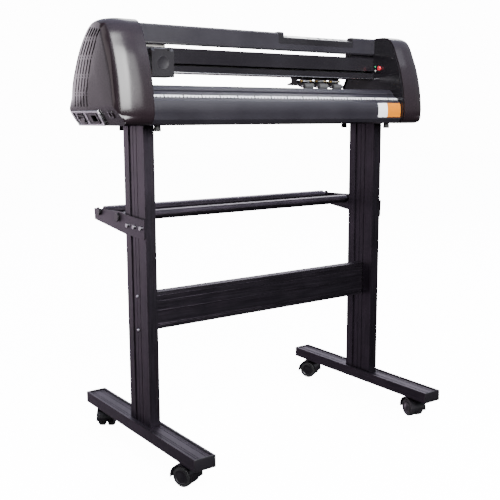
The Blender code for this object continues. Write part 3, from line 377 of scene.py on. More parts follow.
# %% Each solid gets its finish
BY_SLOT = {
    "cover_black": cover_black, "slate": slate, "black_steel": black_steel, "black_plastic": black_plastic,
    "tread": tread, "bright_steel": bright_steel, "grit_steel": grit_steel, "brass": brass,
    "rule_white": rule_white, "strip_white": strip_white, "belt_rubber": rubber_black,
    "red_button": red_button, "key_grey": key_grey, "screen": screen, "board_green": board_green,
    "roller_rubber": roller_rubber,
}
ANODISED_NODES = {
    "left_foot": anodised_y, "right_foot": anodised_y, "left_post": anodised_z, "right_post": anodised_z,
    "left_roll_arm": anodised_y, "right_roll_arm": anodised_y, "front_roll_tube": anodised_x,
    "rear_roll_tube": anodised_x, "crossbar": anodised_x,
}
slot_of = {row["node"]: row["material_slot"] for row in frame["record"]["subparts"]}
for name, solid in nodes.items():
    material = ANODISED_NODES.get(name) or BY_SLOT[slot_of[name]]
    for index in range(len(solid.material_slots)):
        solid.material_slots[index].material = material
print("finished solids", len(nodes))

# %% [markdown]
# No real edge is perfectly sharp: extrusions are broken with a file, and moulded or folded parts have a small
# radius. A bevel modifier adds that radius without touching the solid's own mesh. The solids come in as
# triangles, so a planar decimate first joins each flat face again, and the bevel then runs only along edges.

# %% Broken edges on the solids
BROKEN_EDGES = {
    0.0012: ["left_foot", "right_foot", "top_cover", "carriage_body"],
    0.0008: ["left_post", "right_post", "crossbar", "carriage_rail", "control_panel"],
    0.0005: ["left_roll_arm", "right_roll_arm", "power_plate", "tool_lift", "power_switch", "left_key",
             "right_key", "origin_key", "pause_key", "pinch_bracket_1", "pinch_bracket_2", "pinch_bracket_3"],
}
for radius, names in BROKEN_EDGES.items():
    for name in names:
        join = nodes[name].modifiers.new("flat faces", "DECIMATE")
        join.decimate_type = "DISSOLVE"
        join.angle_limit = math.radians(0.5)
        bevel = nodes[name].modifiers.new("broken edges", "BEVEL")
        bevel.width = radius
        bevel.segments = 2
        bevel.limit_method = "ANGLE"
        bevel.angle_limit = math.radians(40)
        bevel.use_clamp_overlap = True
print("broken edges on", sum(len(names) for names in BROKEN_EDGES.values()), "solids")

# %% [markdown]
# The small pieces all start the same way: a mesh is built in bmesh, given its finish, and told which body it
# rides on. These helpers make a bevelled block, a turned shape and a spring, placed in the frame.

# %% Helpers for small pieces
STAND = "stand_and_machine"
SIDES = ((-1, "left"), (1, "right"))


def piece_from(bm, name, material, body, smooth=35):
    """Turns a bmesh into a piece that rides on a body."""
    bmesh.ops.recalc_face_normals(bm, faces=bm.faces)
    mesh = bpy.data.meshes.new(name)
    bm.to_mesh(mesh)
    bm.free()
    mesh.materials.append(material)
    mesh.shade_smooth()
    mesh.set_sharp_from_angle(angle=math.radians(smooth))
    made = bpy.data.objects.new(name, mesh)
    bpy.context.scene.collection.objects.link(made)
    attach(made, body)
    return made


def block(name, low, high, material, slot, body=STAND, bevel=0.0008, place=None, segments=2):
    """A box between two corners with rounded edges, in the frame or in a local place."""
    bm = bmesh.new()
    low, high = Vector(low), Vector(high)
    bmesh.ops.create_cube(bm, size=1)
    for vertex in bm.verts:
        vertex.co = [(a + b) / 2 + c * (b - a) for a, b, c in zip(low, high, vertex.co)]
    bmesh.ops.bevel(bm, geom=bm.edges[:], offset=bevel, segments=segments, affect="EDGES", profile=0.5)
    if place is not None:
        bmesh.ops.transform(bm, matrix=place, verts=bm.verts)
    return piece_from(bm, name, material, body)


def axis_place(centre, axis):
    """A place whose local Z points along axis."""
    turn = Vector(axis).to_track_quat("Z", "Y").to_matrix().to_4x4()
    return Matrix.Translation(centre) @ turn


def lathe(name, profile, centre, axis, material, slot, body=STAND, sides=24):
    """A turned shape: (radius, height) points swept about an axis through centre."""
    bm = bmesh.new()
    place = axis_place(centre, axis)
    rings = []
    for radius, height in profile:
        if radius < 1e-7:
            rings.append([bm.verts.new(place @ Vector((0, 0, height)))])
            continue
        angles = [2 * math.pi * i / sides for i in range(sides)]
        ring = [place @ Vector((radius * math.cos(a), radius * math.sin(a), height)) for a in angles]
        rings.append([bm.verts.new(point) for point in ring])
    for lower, upper in zip(rings, rings[1:]):
        for i in range(sides):
            corners = [lower[i % len(lower)], lower[(i + 1) % len(lower)]]
            corners += [upper[(i + 1) % len(upper)], upper[i % len(upper)]]
            corners = list(dict.fromkeys(corners))
            if len(corners) > 2:
                bm.faces.new(corners)
    for ring in (rings[0], rings[-1]):
        if len(ring) > 2:
            bm.faces.new(ring)
    return piece_from(bm, name, material, body)


def coil(name, start, end, radius, wire, turns, material, slot, body):
    """A spring from start to end, as one round-bevelled curve."""
    data = bpy.data.curves.new(name, "CURVE")
    data.dimensions = "3D"
    data.bevel_depth = wire / 2
    data.bevel_resolution = 2
    spline = data.splines.new("POLY")
    steps = int(turns * 14)
    place = axis_place(start, Vector(end) - Vector(start))
    length = (Vector(end) - Vector(start)).length
    spline.points.add(steps)
    for i in range(steps + 1):
        angle = 2 * math.pi * turns * i / steps
        point = place @ Vector((radius * math.cos(angle), radius * math.sin(angle), length * i / steps))
        spline.points[i].co = (*point, 1)
    data.materials.append(material)
    made = bpy.data.objects.new(name, data)
    bpy.context.scene.collection.objects.link(made)
    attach(made, body)
    return made


print("helpers ready")

# %% [markdown]
# The end covers are the machine's face. Each one is a moulded shell: a leaf-shaped outline pushed outwards
# and rolled over at its outer edge, much more at the front than at the back. The roll ends in a crease, where
# the round front meets the flat side. The shell is built as a dense grid of rings, so that reflections run
# smoothly over it: straight rings, rolling rings up to the crease, then rings that shrink over the side. A
# plane cuts the slope under the side.

# %% End covers: outline and rings
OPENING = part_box("left_side_plate")[1].x * -1 + 0.003
COVER_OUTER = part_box("right_cover")[1].x
MACHINE_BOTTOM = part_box("right_cover")[0].z
CHAMFER_TOP = MACHINE_BOTTOM + 0.039
CHAMFER_IN = 0.022
COVER_POINTS = [(-0.102, 0.809), (-0.117, 0.814), (-0.1255, 0.829), (-0.1265, 0.852), (-0.120, 0.905)]
COVER_POINTS += [(-0.106, 0.957), (-0.090, 0.996), (-0.079, 1.019), (-0.066, 1.035), (-0.047, 1.0435)]
COVER_POINTS += [(-0.010, 1.0442), (0.018, 1.0375), (0.046, 1.0215), (0.0815, 0.987), (0.1130, 0.9400)]
COVER_POINTS += [(0.1300, 0.902), (0.1365, 0.858), (0.1365, 0.832), (0.131, 0.815), (0.120, 0.809)]


def smooth_outline(points, steps):
    """A smooth open curve through the points, as an array."""
    ends = [points[0], *points, points[-1]]
    found = []
    for p, q, r, s in zip(ends, ends[1:], ends[2:], ends[3:]):
        for i in range(steps):
            t = i / steps
            place = []
            for a, b, c, d in zip(p, q, r, s):
                cubic = 3 * b - a - 3 * c + d
                place.append(0.5 * (2 * b + (c - a) * t + (2 * a - 5 * b + 4 * c - d) * t**2 + cubic * t**3))
            found.append(place)
    found.append(list(points[-1]))
    return np.array(found)


def smoothstep(low, high, value):
    """A soft step from 0 to 1."""
    t = np.clip((value - low) / (high - low), 0, 1)
    return t * t * (3 - 2 * t)


CREASE_Z = [0.809, 0.8207, 0.8332, 0.8469, 0.8648, 0.885, 0.9274, 0.9708, 0.9914, 1.0086, 1.0217, 1.05]
CREASE_X = [0.4530, 0.4575, 0.4635, 0.4685, 0.4712, 0.4726, 0.4715, 0.4683, 0.4670, 0.4660, 0.4655, 0.4655]
BACK_FALL = 0.0045
CREASE_VALLEY = 0.0006
FIRST_SHARE = 0.988
SIDE_SHARES = (FIRST_SHARE, 0.976, 0.96, 0.94, 0.92, 0.90, 0.88, 0.82, 0.74, 0.64, 0.52, 0.38, 0.2, 0)


def side_x(y, z):
    """How far out the side is: flat in front, and falling away gently towards the slanting back edge."""
    back = np.clip((y + 0.62 * (z - 0.85) - 0.02) / 0.12, 0, 1.1)
    return COVER_OUTER - BACK_FALL * back**2 * smoothstep(0.845, 0.88, z)


def cover_rings(steps=7, straight=6, rolls=44):
    """The shell as rings of points, from the side plate out to the crease and over the flat side."""
    outline = smooth_outline(COVER_POINTS, steps)
    along = np.roll(outline, -1, 0) - np.roll(outline, 1, 0)
    normal = np.stack([along[:, 1], -along[:, 0]], 1)
    normal /= np.linalg.norm(normal, axis=1)[:, None]
    if normal[outline[:, 1].argmax(), 1] < 0:
        normal = -normal
    front = np.maximum(0, -normal[:, 0])
    top = np.maximum(0, normal[:, 1])
    height = outline[:, 1]
    low = np.clip((height - MACHINE_BOTTOM) / 0.02, 0, 1)
    # The roll is wide at the front, narrower on top and only an edge at the back.
    across = 0.004 + (0.006 + 0.058 * front + 0.036 * top * (1 - front)) * low
    inwards = 0.004 + (0.002 + 0.018 * front + 0.005 * top) * low
    outer = side_x(outline[:, 0], height)
    # At the front the roll stops early, at the crease; elsewhere it runs on until it is flat.
    held = smoothstep(0.25, 0.6, front)
    reach = np.clip(1 - (outer - np.interp(height, CREASE_Z, CREASE_X)) / across, 0, 1)
    end = math.pi / 2 + (np.arcsin(reach) - math.pi / 2) * held
    found = []
    for share in np.linspace(0, 1, straight):
        found.append(np.column_stack([OPENING + (outer - across - OPENING) * share, outline]))
    for share in np.linspace(0, 1, rolls)[1:]:
        inset = inwards * (1 - np.cos(end * share))
        x = outer - across * (1 - np.sin(end * share))
        found.append(np.column_stack([x, outline - normal * inset[:, None]]))
    # From the crease the side comes back out to its own height over a short way.
    centre = outline.mean(0)
    rim = found[-1]
    dent = side_x(rim[:, 1], rim[:, 2]) - rim[:, 0]
    width = 0.12 + 0.06 * smoothstep(0.90, 0.98, rim[:, 2])
    for share in SIDE_SHARES:
        place = centre + (rim[:, 1:] - centre) * share
        valley = CREASE_VALLEY * held if share == FIRST_SHARE else 0
        recover = np.clip((share - 1 + width) / width, 0, 1) ** 1.4
        x = side_x(place[:, 0], place[:, 1]) - dent * recover - valley
        found.append(np.column_stack([x, place]))
    return np.array(found)


def cover_mesh(side, weld=0.00002):
    """One cover as a bmesh, closed on its flat side and open where the side plate stands."""
    rings = cover_rings()
    rings[:, :, 0] *= side
    bm = bmesh.new()
    grid = [[bm.verts.new(point) for point in ring] for ring in rings]
    count = len(grid[0])
    for lower, upper in zip(grid, grid[1:]):
        for i in range(count):
            j = (i + 1) % count
            bm.faces.new((lower[i], lower[j], upper[j], upper[i]))
    bmesh.ops.remove_doubles(bm, verts=bm.verts, dist=weld)
    slope = Vector((side * (CHAMFER_TOP - MACHINE_BOTTOM), 0, -CHAMFER_IN)).normalized()
    start = Vector((side * COVER_OUTER, 0, CHAMFER_TOP))
    shape = bm.verts[:] + bm.edges[:] + bm.faces[:]
    cut = bmesh.ops.bisect_plane(bm, geom=shape, plane_co=start, plane_no=slope, clear_outer=True)
    rim = [item for item in cut["geom_cut"] if isinstance(item, bmesh.types.BMEdge) and item.is_boundary]
    bmesh.ops.contextual_create(bm, geom=rim)
    bmesh.ops.remove_doubles(bm, verts=bm.verts, dist=weld)
    bmesh.ops.recalc_face_normals(bm, faces=bm.faces)
    highest = max(bm.faces, key=lambda face: face.calc_center_median().z)
    if highest.normal.z < 0:
        bmesh.ops.reverse_faces(bm, faces=bm.faces)
    return bm


print("cover rings", cover_rings().shape)

# %% [markdown]
# The left cover also has a vent, rows of long slots that follow its back edge with a small square hole
# between one slot and the next, and a window for the power entry. The holes are cut with Booleans, after the
# shell has been given its wall, so that each slot shows a real edge and a dark inside.

# %% End covers: vents and window
VENT_ROWS = (
    ((0.0985, 0.8530), (0.1025, 0.8785), (0.0320, 0.8520), (0.0345, 0.8770)),
    ((0.1015, 0.8868), (0.0915, 0.9189), (0.0335, 0.8850), (0.0230, 0.9163)),
    ((0.0895, 0.9270), (0.0725, 0.9599), (0.0200, 0.9242), (0.0050, 0.9563)),
    ((0.0675, 0.9682), (0.0405, 0.9990), (0.0000, 0.9644), (-0.0240, 0.9950)),
    ((0.0335, 1.0068), (0.0060, 1.0255), (-0.0265, 1.0020), (-0.0455, 1.0170)),
)


def vent_holes(columns=5):
    """Foot and head of every slot and every small square hole."""
    previous = None
    for back_foot, back_head, front_foot, front_head in VENT_ROWS:
        feet = [Vector(back_foot).lerp(Vector(front_foot), i / (columns - 1)) for i in range(columns)]
        heads = [Vector(back_head).lerp(Vector(front_head), i / (columns - 1)) for i in range(columns)]
        yield from zip(feet, heads)
        for below, above in zip(previous or (), feet):
            middle = (below + above) / 2
            half = (above - below).normalized() * 0.002
            yield middle - half, middle + half
        previous = heads


def cutter_object(bm, name):
    """An object for a Boolean, removed once it has been used."""
    mesh = bpy.data.meshes.new(name)
    bm.to_mesh(mesh)
    bm.free()
    made = bpy.data.objects.new(name, mesh)
    bpy.context.scene.collection.objects.link(made)
    return made


def vent_cutter(width=0.0056, depth=0.03):
    """One box for each slot and each small hole."""
    bm = bmesh.new()
    for foot, head in vent_holes():
        middle = (foot + head) / 2
        along = head - foot
        place = Matrix.Translation((-COVER_OUTER, middle.x, middle.y))
        turn = Matrix.Rotation(math.atan2(along.y, along.x) - math.pi / 2, 4, "X")
        size = Matrix.Diagonal((depth, width, along.length, 1))
        bmesh.ops.create_cube(bm, size=1, matrix=place @ turn @ size)
    return cutter_object(bm, "vent_cutter")


SLOPE_MIDDLE = 0.53
POWER_Y = 0.047
PORT_Y = -0.0755
PORT_SHARE = 0.36
SLOPE_Y = Vector((0, 1, 0))
SLOPE_DOWN = Vector((CHAMFER_IN, 0, MACHINE_BOTTOM - CHAMFER_TOP)).normalized()
SLOPE_OUT = SLOPE_Y.cross(SLOPE_DOWN)


def slope_place(y, share=SLOPE_MIDDLE):
    """A place on the left cover's lower slope: local X to the back, local Y down it, local Z out of it."""
    drop = CHAMFER_TOP - MACHINE_BOTTOM
    centre = Vector((-COVER_OUTER + CHAMFER_IN * share, y, CHAMFER_TOP - drop * share))
    turn = Matrix((SLOPE_Y, SLOPE_DOWN, SLOPE_OUT)).transposed().to_4x4()
    return Matrix.Translation(centre) @ turn


def slope_cutter(name, place, half, depth):
    """A box through the slope at a place, half as half its width and height."""
    bm = bmesh.new()
    size = Matrix.Diagonal((2 * half[0], 2 * half[1], depth, 1))
    bmesh.ops.create_cube(bm, size=1, matrix=place @ size)
    return cutter_object(bm, name)


def bake(piece):
    """Replaces a piece's mesh by what its modifiers make of it."""
    bpy.context.view_layer.update()
    depsgraph = bpy.context.evaluated_depsgraph_get()
    mesh = bpy.data.meshes.new_from_object(piece.evaluated_get(depsgraph))
    piece.modifiers.clear()
    piece.data = mesh
    return mesh


def end_cover(name, side, cutters):
    """A finished cover that stands for its CAD solid."""
    cover = piece_from(cover_mesh(side), name + "_shell", cover_black, STAND, 40)
    wall = cover.modifiers.new("wall", "SOLIDIFY")
    wall.thickness = 0.0028
    wall.offset = -1
    for cutter in cutters:
        cut = cover.modifiers.new("cut", "BOOLEAN")
        cut.operation = "DIFFERENCE"
        cut.solver = "MANIFOLD"
        cut.object = cutter
    mesh = bake(cover)
    mesh.shade_smooth()
    mesh.set_sharp_from_angle(angle=math.radians(32))
    for cutter in cutters:
        bpy.data.objects.remove(cutter)
    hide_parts(name)
    print(cover.name, len(mesh.polygons), "faces")
    return cover


window = slope_cutter("window_cutter", slope_place(POWER_Y), (0.063, 0.0135), 0.024)
port = slope_cutter("port_cutter", slope_place(PORT_Y, PORT_SHARE), (0.0055, 0.0055), 0.02)
end_cover("left_cover", -1, [vent_cutter(), window, port])
end_cover("right_cover", 1, [])

# %% [markdown]
# Behind the vent is a sheet of black filter felt, which keeps dust out of the motor space. It is a flat
# outline given a thickness, cut to the shape of the vent field.

# %% Vent filter
def prism(name, outline, low, high, material, body=STAND):
    """An outline in (y, z) given a thickness along X."""
    bm = bmesh.new()
    layers = [[bm.verts.new((x, y, z)) for y, z in outline] for x in (low, high)]
    bm.faces.new(layers[0])
    bm.faces.new(layers[1])
    for i in range(len(outline)):
        j = (i + 1) % len(outline)
        bm.faces.new((layers[0][i], layers[0][j], layers[1][j], layers[1][i]))
    bmesh.ops.triangulate(bm, faces=bm.faces[:2])
    return piece_from(bm, name, material, body)


VENT_FIELD = [(0.108, 0.851), (0.111, 0.880), (0.098, 0.922), (0.078, 0.963), (0.045, 1.003), (0.010, 1.028)]
VENT_FIELD += [(-0.050, 1.020), (-0.036, 0.998), (-0.006, 0.962), (0.012, 0.918), (0.024, 0.885)]
VENT_FIELD += [(0.025, 0.851)]
felt = moulded("filter_felt", (0.006, 0.006, 0.006), (0.9, 1.0), 2500, 0.0002)
vent_filter = prism("vent_filter", VENT_FIELD, -0.4575, -0.4560, felt)
print(vent_filter.name, "behind", sum(1 for hole in vent_holes()), "holes")

# %% [markdown]
# The power entry is a bright pressed plate with a raised rim. The rim is a frame of four bevelled bars, and
# thin black gaskets sit round the switch and the inlet, so that the plate doesn't look like one flat sheet.

# %% Power entry rims and the data port
PLATE_TOP = 0.0022


def frame_on(name, place, outer, inner, low, high, material, slot, bevel=0.0005):
    """A rectangular ring of bevelled section, flat on a local place, as one closed mesh."""
    bm = bmesh.new()
    rows = []
    for half, height in ((outer, low), (outer, high), (inner, high), (inner, low)):
        corners = ((-half[0], -half[1]), (half[0], -half[1]), (half[0], half[1]), (-half[0], half[1]))
        rows.append([bm.verts.new((x, y, height)) for x, y in corners])
    for lower, upper in zip(rows, rows[1:] + rows[:1]):
        for i in range(4):
            j = (i + 1) % 4
            bm.faces.new((lower[i], lower[j], upper[j], upper[i]))
    bmesh.ops.bevel(bm, geom=bm.edges[:], offset=bevel, segments=2, affect="EDGES", profile=0.5)
    bmesh.ops.transform(bm, matrix=place, verts=bm.verts)
    return piece_from(bm, name, material, STAND)


plate_place = slope_place(POWER_Y)
STEEL = (bright_steel, "bright_steel")
BLACK = (black_plastic, "black_plastic")
RIMS = (
    ("power_rim", 0, (0.0725, 0.0192), (0.0675, 0.0152), 0.0046, STEEL),
    ("inlet_rim", -0.026, (0.0275, 0.0138), (0.0243, 0.0113), 0.0042, BLACK),
    ("switch_rim", 0.036, (0.0165, 0.0138), (0.0133, 0.0113), 0.0040, BLACK),
)
for name, shift, outer, inner, top, finish in RIMS:
    place = plate_place @ Matrix.Translation((shift, 0, 0))
    frame_on(name, place, outer, inner, PLATE_TOP, top, *finish)
PLATE_SCREW = [(0.0028, 0), (0.0028, 0.0008), (0.0018, 0.0016), (0.0007, 0.0018), (0.0007, 0.0009)]
PLATE_SCREW += [(0, 0.0009)]
for index, offset in enumerate((-0.060, 0.060)):
    centre = plate_place @ Vector((offset, 0, PLATE_TOP))
    lathe(f"plate_screw_{index}", PLATE_SCREW, centre, SLOPE_OUT, *STEEL)
port_place = slope_place(PORT_Y, PORT_SHARE)
boss = ((0.0098, 0.0090), (0.0052, 0.0048), -0.004, 0.0022)
frame_on("data_port_boss", port_place, *boss, cover_black, "cover_black", 0.0008)
block("data_port_tongue", (-0.003, -0.0026, -0.006), (0.003, 0.0026, 0.0005), *BLACK, place=port_place)
print("power entry at", [round(value, 3) for value in plate_place.translation])

# %% [markdown]
# The stand's feet are closed with moulded caps, a little larger than the extrusion, and fine beads run along
# the sunk top between cap and post. The beads are drawn with the extrusion on the real thing. Here each is a
# long bar with a rounded back.

# %% Foot caps and beads
FOOT_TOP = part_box("left_foot")[1].z
FOOT_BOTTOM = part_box("left_foot")[0].z
FOOT_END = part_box("left_foot")[1].y
BEAD_SHIFTS = (-0.0155, -0.0095, 0.0095, 0.0155)
for side, name in SIDES:
    foot_low, foot_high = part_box(f"{name}_foot")
    middle = (foot_low.x + foot_high.x) / 2
    half = (foot_high.x - foot_low.x) / 2 + 0.0006
    for end, where in ((-1, "front"), (1, "rear")):
        low, high = sorted((end * (FOOT_END + 0.0002), end * (FOOT_END + 0.0032)))
        corners = (middle - half, low, FOOT_BOTTOM - 0.0005), (middle + half, high, FOOT_TOP + 0.0009)
        block(f"{name}_{where}_foot_cap", *corners, *BLACK, bevel=0.0013, segments=3)
        low, high = sorted((end * 0.0515, end * (FOOT_END - 0.001)))
        for index, shift in enumerate(BEAD_SHIFTS):
            x = middle + shift
            corners = (x - 0.0008, low, FOOT_TOP - 0.0032), (x + 0.0008, high, FOOT_TOP - 0.0022)
            block(f"{name}_{where}_foot_bead_{index}", *corners, anodised_y, "anodised", bevel=0.0003)
print("foot caps 4, foot beads", 4 * len(BEAD_SHIFTS))

# %% [markdown]
# The crossbar has similar beads on both faces, at five heights. The same long bar is repeated, half sunk in
# the face, so that each bead catches a thin line of light.

# %% Crossbar beads
bar_low, bar_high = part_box("crossbar")
for out, face, where in ((-1, bar_low.y, "front"), (1, bar_high.y, "rear")):
    for index, share in enumerate((0.10, 0.135, 0.50, 0.76, 0.90)):
        z = bar_low.z + (bar_high.z - bar_low.z) * share
        low, high = sorted((face - out * 0.0004, face + out * 0.0007))
        corners = (bar_low.x + 0.001, low, z - 0.0009), (bar_high.x - 0.001, high, z + 0.0009)
        block(f"crossbar_{where}_bead_{index}", *corners, anodised_x, "anodised", bevel=0.0004)
print("crossbar", [round(value, 3) for value in (*bar_low, *bar_high)])

# %% [markdown]
# The crossbar is held by screws through the posts, and their heads show on the outer faces. A head with a
# socket is a turned shape, so one short profile makes all of them.

# %% Post screws
SCREW_HEAD = [(0.0036, 0), (0.0036, 0.0010), (0.0026, 0.0024), (0.0012, 0.0028), (0.0012, 0.0014)]
SCREW_HEAD += [(0, 0.0014)]
for side, name in SIDES:
    low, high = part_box(f"{name}_post")
    face = (low.x if side < 0 else high.x) - side * 0.0006
    for index, z in enumerate((0.4025, 0.3190)):
        lathe(f"{name}_post_screw_{index}", SCREW_HEAD, (face, -0.001, z), (side, 0, 0), *STEEL)
print("post screws 4")

# %% [markdown]
# Under the machine are four short rubber feet, left over from its use on a table. On the stand they hang free
# in front of the posts and behind them.

# %% Machine feet
FOOT_PROFILE = [(0.0052, 0.0135), (0.0075, 0.0132), (0.0085, 0.004), (0.0080, 0.0006), (0.0070, 0)]
FOOT_PROFILE += [(0.003, 0), (0.003, 0.002), (0, 0.002)]
for side, where in SIDES:
    for end, depth in ((-1, "front"), (1, "rear")):
        place = (side * 0.360, end * 0.086, MACHINE_BOTTOM - 0.0128)
        lathe(f"machine_foot_{where}_{depth}", FOOT_PROFILE, place, (0, 0, 1), rubber_black, "belt_rubber")
print("machine feet 4")

# %% [markdown]
# The roll arms hold each tube by its end pin, and a round black hub outside the arm keeps the pin in place.

# %% Tube hubs
HUB = [(0.0062, 0.0004), (0.0100, 0.0004), (0.0106, 0.0012), (0.0106, 0.0030), (0.0096, 0.0040)]
HUB += [(0.0062, 0.0040)]
arm_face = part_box("right_roll_arm")[1].x
for tube in ("front", "rear"):
    low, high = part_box(f"{tube}_roll_tube")
    centre = (low + high) / 2
    for side, where in SIDES:
        place = (side * (arm_face + 0.0002), centre.y, centre.z)
        lathe(f"{tube}_tube_hub_{where}", HUB, place, (side, 0, 0), *BLACK, f"{tube}_tube")
print("tube hubs 4")

# %% [markdown]
# Each caster wheel has a pressed hub with a raised rim. The joint in the frame says where the wheel's axle is
# and which way it points, so the hub is placed from that.

# %% Caster hubs
WHEEL_HUB = [(0, 0.0012), (0.0035, 0.0018), (0.0065, 0.0006), (0.0140, 0.0006), (0.0152, 0.0016)]
WHEEL_HUB += [(0.0164, 0.0016), (0.0168, 0)]
axle_joints = [joint for joint in frame["joints"] if joint["name"].endswith("_wheel_spin")]
for joint in axle_joints:
    centre, axis = Vector(joint["pos_m"]), Vector(joint["axis"])
    for side, ending in ((-1, "_hub_a"), (1, "_hub_b")):
        place = centre + axis * side * 0.0210
        lathe(joint["child"] + ending, WHEEL_HUB, place, axis * side, *BLACK, joint["child"], 28)
print("wheel hubs", 2 * len(axle_joints))

# %% [markdown]
# The scale is a white film with dark marks: a short one every ten millimetres and a longer one every fifty.
# They repeat exactly, so the finish counts them from the position along the machine, with no drawing needed.

# %% Scale marks
def marks(tree, along, height, spacing, width, top):
    """1 where a mark is: the first part of every spacing, and only below the top."""
    part = maths(tree, "FRACT", maths(tree, "DIVIDE", along, spacing))
    narrow = maths(tree, "LESS_THAN", part, width / spacing)
    below = maths(tree, "LESS_THAN", height, top)
    return maths(tree, "MULTIPLY", narrow, below)


def scale_film():
    """White film whose dark marks repeat along X."""
    material, tree, shader = new_material("scale_film")
    place = position(tree)
    at = axes(tree, place)
    low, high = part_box("ruler_strip")
    short = marks(tree, at["X"], at["Z"], 0.010, 0.0026, (low.z + high.z) / 2)
    long = marks(tree, at["X"], at["Z"], 0.050, 0.0036, high.z)
    either = maths(tree, "MAXIMUM", short, long)
    cloud = noise(tree, place, 120, 3)
    white = ramp(tree, cloud, [(0.3, (0.66, 0.66, 0.70)), (0.7, (0.84, 0.84, 0.87))])
    link(tree, mixed(tree, either, white, (0.05, 0.05, 0.055)), shader, "Base Color")
    link(tree, spread(tree, cloud, 0.3, 0.42), shader, "Roughness")
    return material


nodes["ruler_strip"].material_slots[0].material = scale_film()

# %% [markdown]
# A plain two-colour sticker is on the right end of the apron. It has no symbol and no words. It follows the
# apron's curve, a tenth of a millimetre off its surface, so it is made as a thin bent sheet.

# %% Apron sticker
STICKER_LEFT = 0.300
STICKER_SPLIT = 0.3345
STICKER_RIGHT = 0.3835
STICKER_TOP = 0.8635
STICKER_FOOT = 0.8262
APRON_CENTRE = (-0.0625, 0.8435)
APRON_RADIUS = 0.0535
APRON_FOOT = 0.822


def sticker_finish():
    """White on the left, orange on the right, with a faint print grain."""
    material, tree, shader = new_material("sticker")
    place = position(tree)
    right = maths(tree, "GREATER_THAN", axes(tree, place)["X"], STICKER_SPLIT)
    grain = noise(tree, place, 900, 2)
    orange = ramp(tree, grain, [(0.3, (0.60, 0.17, 0.0)), (0.7, (0.66, 0.20, 0.0))])
    white = ramp(tree, grain, [(0.3, (0.86, 0.86, 0.9)), (0.7, (0.94, 0.94, 0.96))])
    link(tree, mixed(tree, right, white, orange), shader, "Base Color")
    link(tree, spread(tree, grain, 0.5, 0.6), shader, "Roughness")
    shader.inputs["Specular IOR Level"].default_value = 0.1
    return material


def apron_point(z, proud):
    """The point on the apron at height z, moved out by proud, as (y, z)."""
    curve_end = APRON_CENTRE[1] + APRON_RADIUS * math.sin(math.radians(184))
    if z > curve_end:
        angle = math.pi - math.asin((z - APRON_CENTRE[1]) / APRON_RADIUS)
        reach = APRON_RADIUS + proud
        return APRON_CENTRE[0] + reach * math.cos(angle), APRON_CENTRE[1] + reach * math.sin(angle)
    share = (curve_end - z) / (curve_end - APRON_FOOT)
    return -0.11587 + 0.00187 * share - proud, z


def border(sheet):
    """The edge of a grid of points, once round."""
    right = [row[-1] for row in sheet[1:]]
    left = [row[0] for row in sheet[-2:0:-1]]
    return sheet[0] + right + sheet[-1][-2::-1] + left


bm = bmesh.new()
layers = []
for proud in (0.0001, 0.0004):
    rows = []
    for z in np.linspace(STICKER_TOP, STICKER_FOOT, 14):
        y, height = apron_point(z, proud)
        rows.append([bm.verts.new((x, y, height)) for x in np.linspace(STICKER_LEFT, STICKER_RIGHT, 9)])
    layers.append(rows)
for layer in layers:
    for upper, lower in zip(layer, layer[1:]):
        for i in range(len(upper) - 1):
            bm.faces.new((upper[i], upper[i + 1], lower[i + 1], lower[i]))
low_edge, high_edge = border(layers[0]), border(layers[1])
for i in range(len(low_edge)):
    j = (i + 1) % len(low_edge)
    bm.faces.new((low_edge[i], low_edge[j], high_edge[j], high_edge[i]))
sticker = piece_from(bm, "apron_sticker", sticker_finish(), STAND, 60)
print(sticker.name, len(sticker.data.polygons), "faces")

# %% [markdown]
# Above the rail a flat ribbon cable feeds the carriage. Its pale tray shows at the left end of the gap under
# the top cover, and a black bracket closes the gap at the right end. A folded lip hangs under the top cover's
# front edge. A thin bright steel strip runs along the foot of the rail as a painted highlight: it stands for
# the light that the rail's lower flange catches.

# %% Cable tray and rail bracket
rail_low, rail_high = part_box("carriage_rail")
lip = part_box("top_cover")[0].z
tray_grey = moulded("tray_grey", (0.42, 0.41, 0.38), (0.4, 0.5), 900)
PAINTED = (black_steel, "black_steel")
rail_top = rail_high.z + 0.0003
corners = (rail_low.x + 0.0005, 0.0035, rail_top), (-0.284, 0.021, lip + 0.006)
block("cable_tray", *corners, tray_grey, "key_grey", bevel=0.001)
corners = (0.303, 0.0005, rail_top), (rail_high.x - 0.0005, 0.024, lip + 0.012)
block("rail_bracket", *corners, *PAINTED, bevel=0.001)
for index, x in enumerate((0.307, 0.316)):
    place = (x, 0.0007, (rail_high.z + lip) / 2)
    lathe(f"rail_bracket_screw_{index}", SCREW_HEAD, place, (0, -1, 0), *PAINTED, sides=16)
corners = (rail_low.x + 0.002, -0.0068, lip - 0.0045), (rail_high.x - 0.002, -0.0040, lip + 0.0005)
block("top_cover_lip", *corners, *PAINTED, bevel=0.0006)
# A thin strip of bright steel along the foot of the rail. Its brightness is a painted highlight, standing for the
# light that the rail's lower flange catches.
low = (rail_low.x + 0.001, rail_low.y - 0.0004, rail_low.z + 0.0002)
high = (rail_high.x - 0.001, rail_low.y + 0.001, rail_low.z + 0.0020)
block("rail_lip", low, high, bright_steel, "anodised", bevel=0.0003)
print("rail", [round(value, 3) for value in (*rail_low, *rail_high)])

# %% [markdown]
# The carriage is a moulded box. A lid with two small hooks for the ribbon cable is on its top, and a round
# dished panel is pressed into its front.

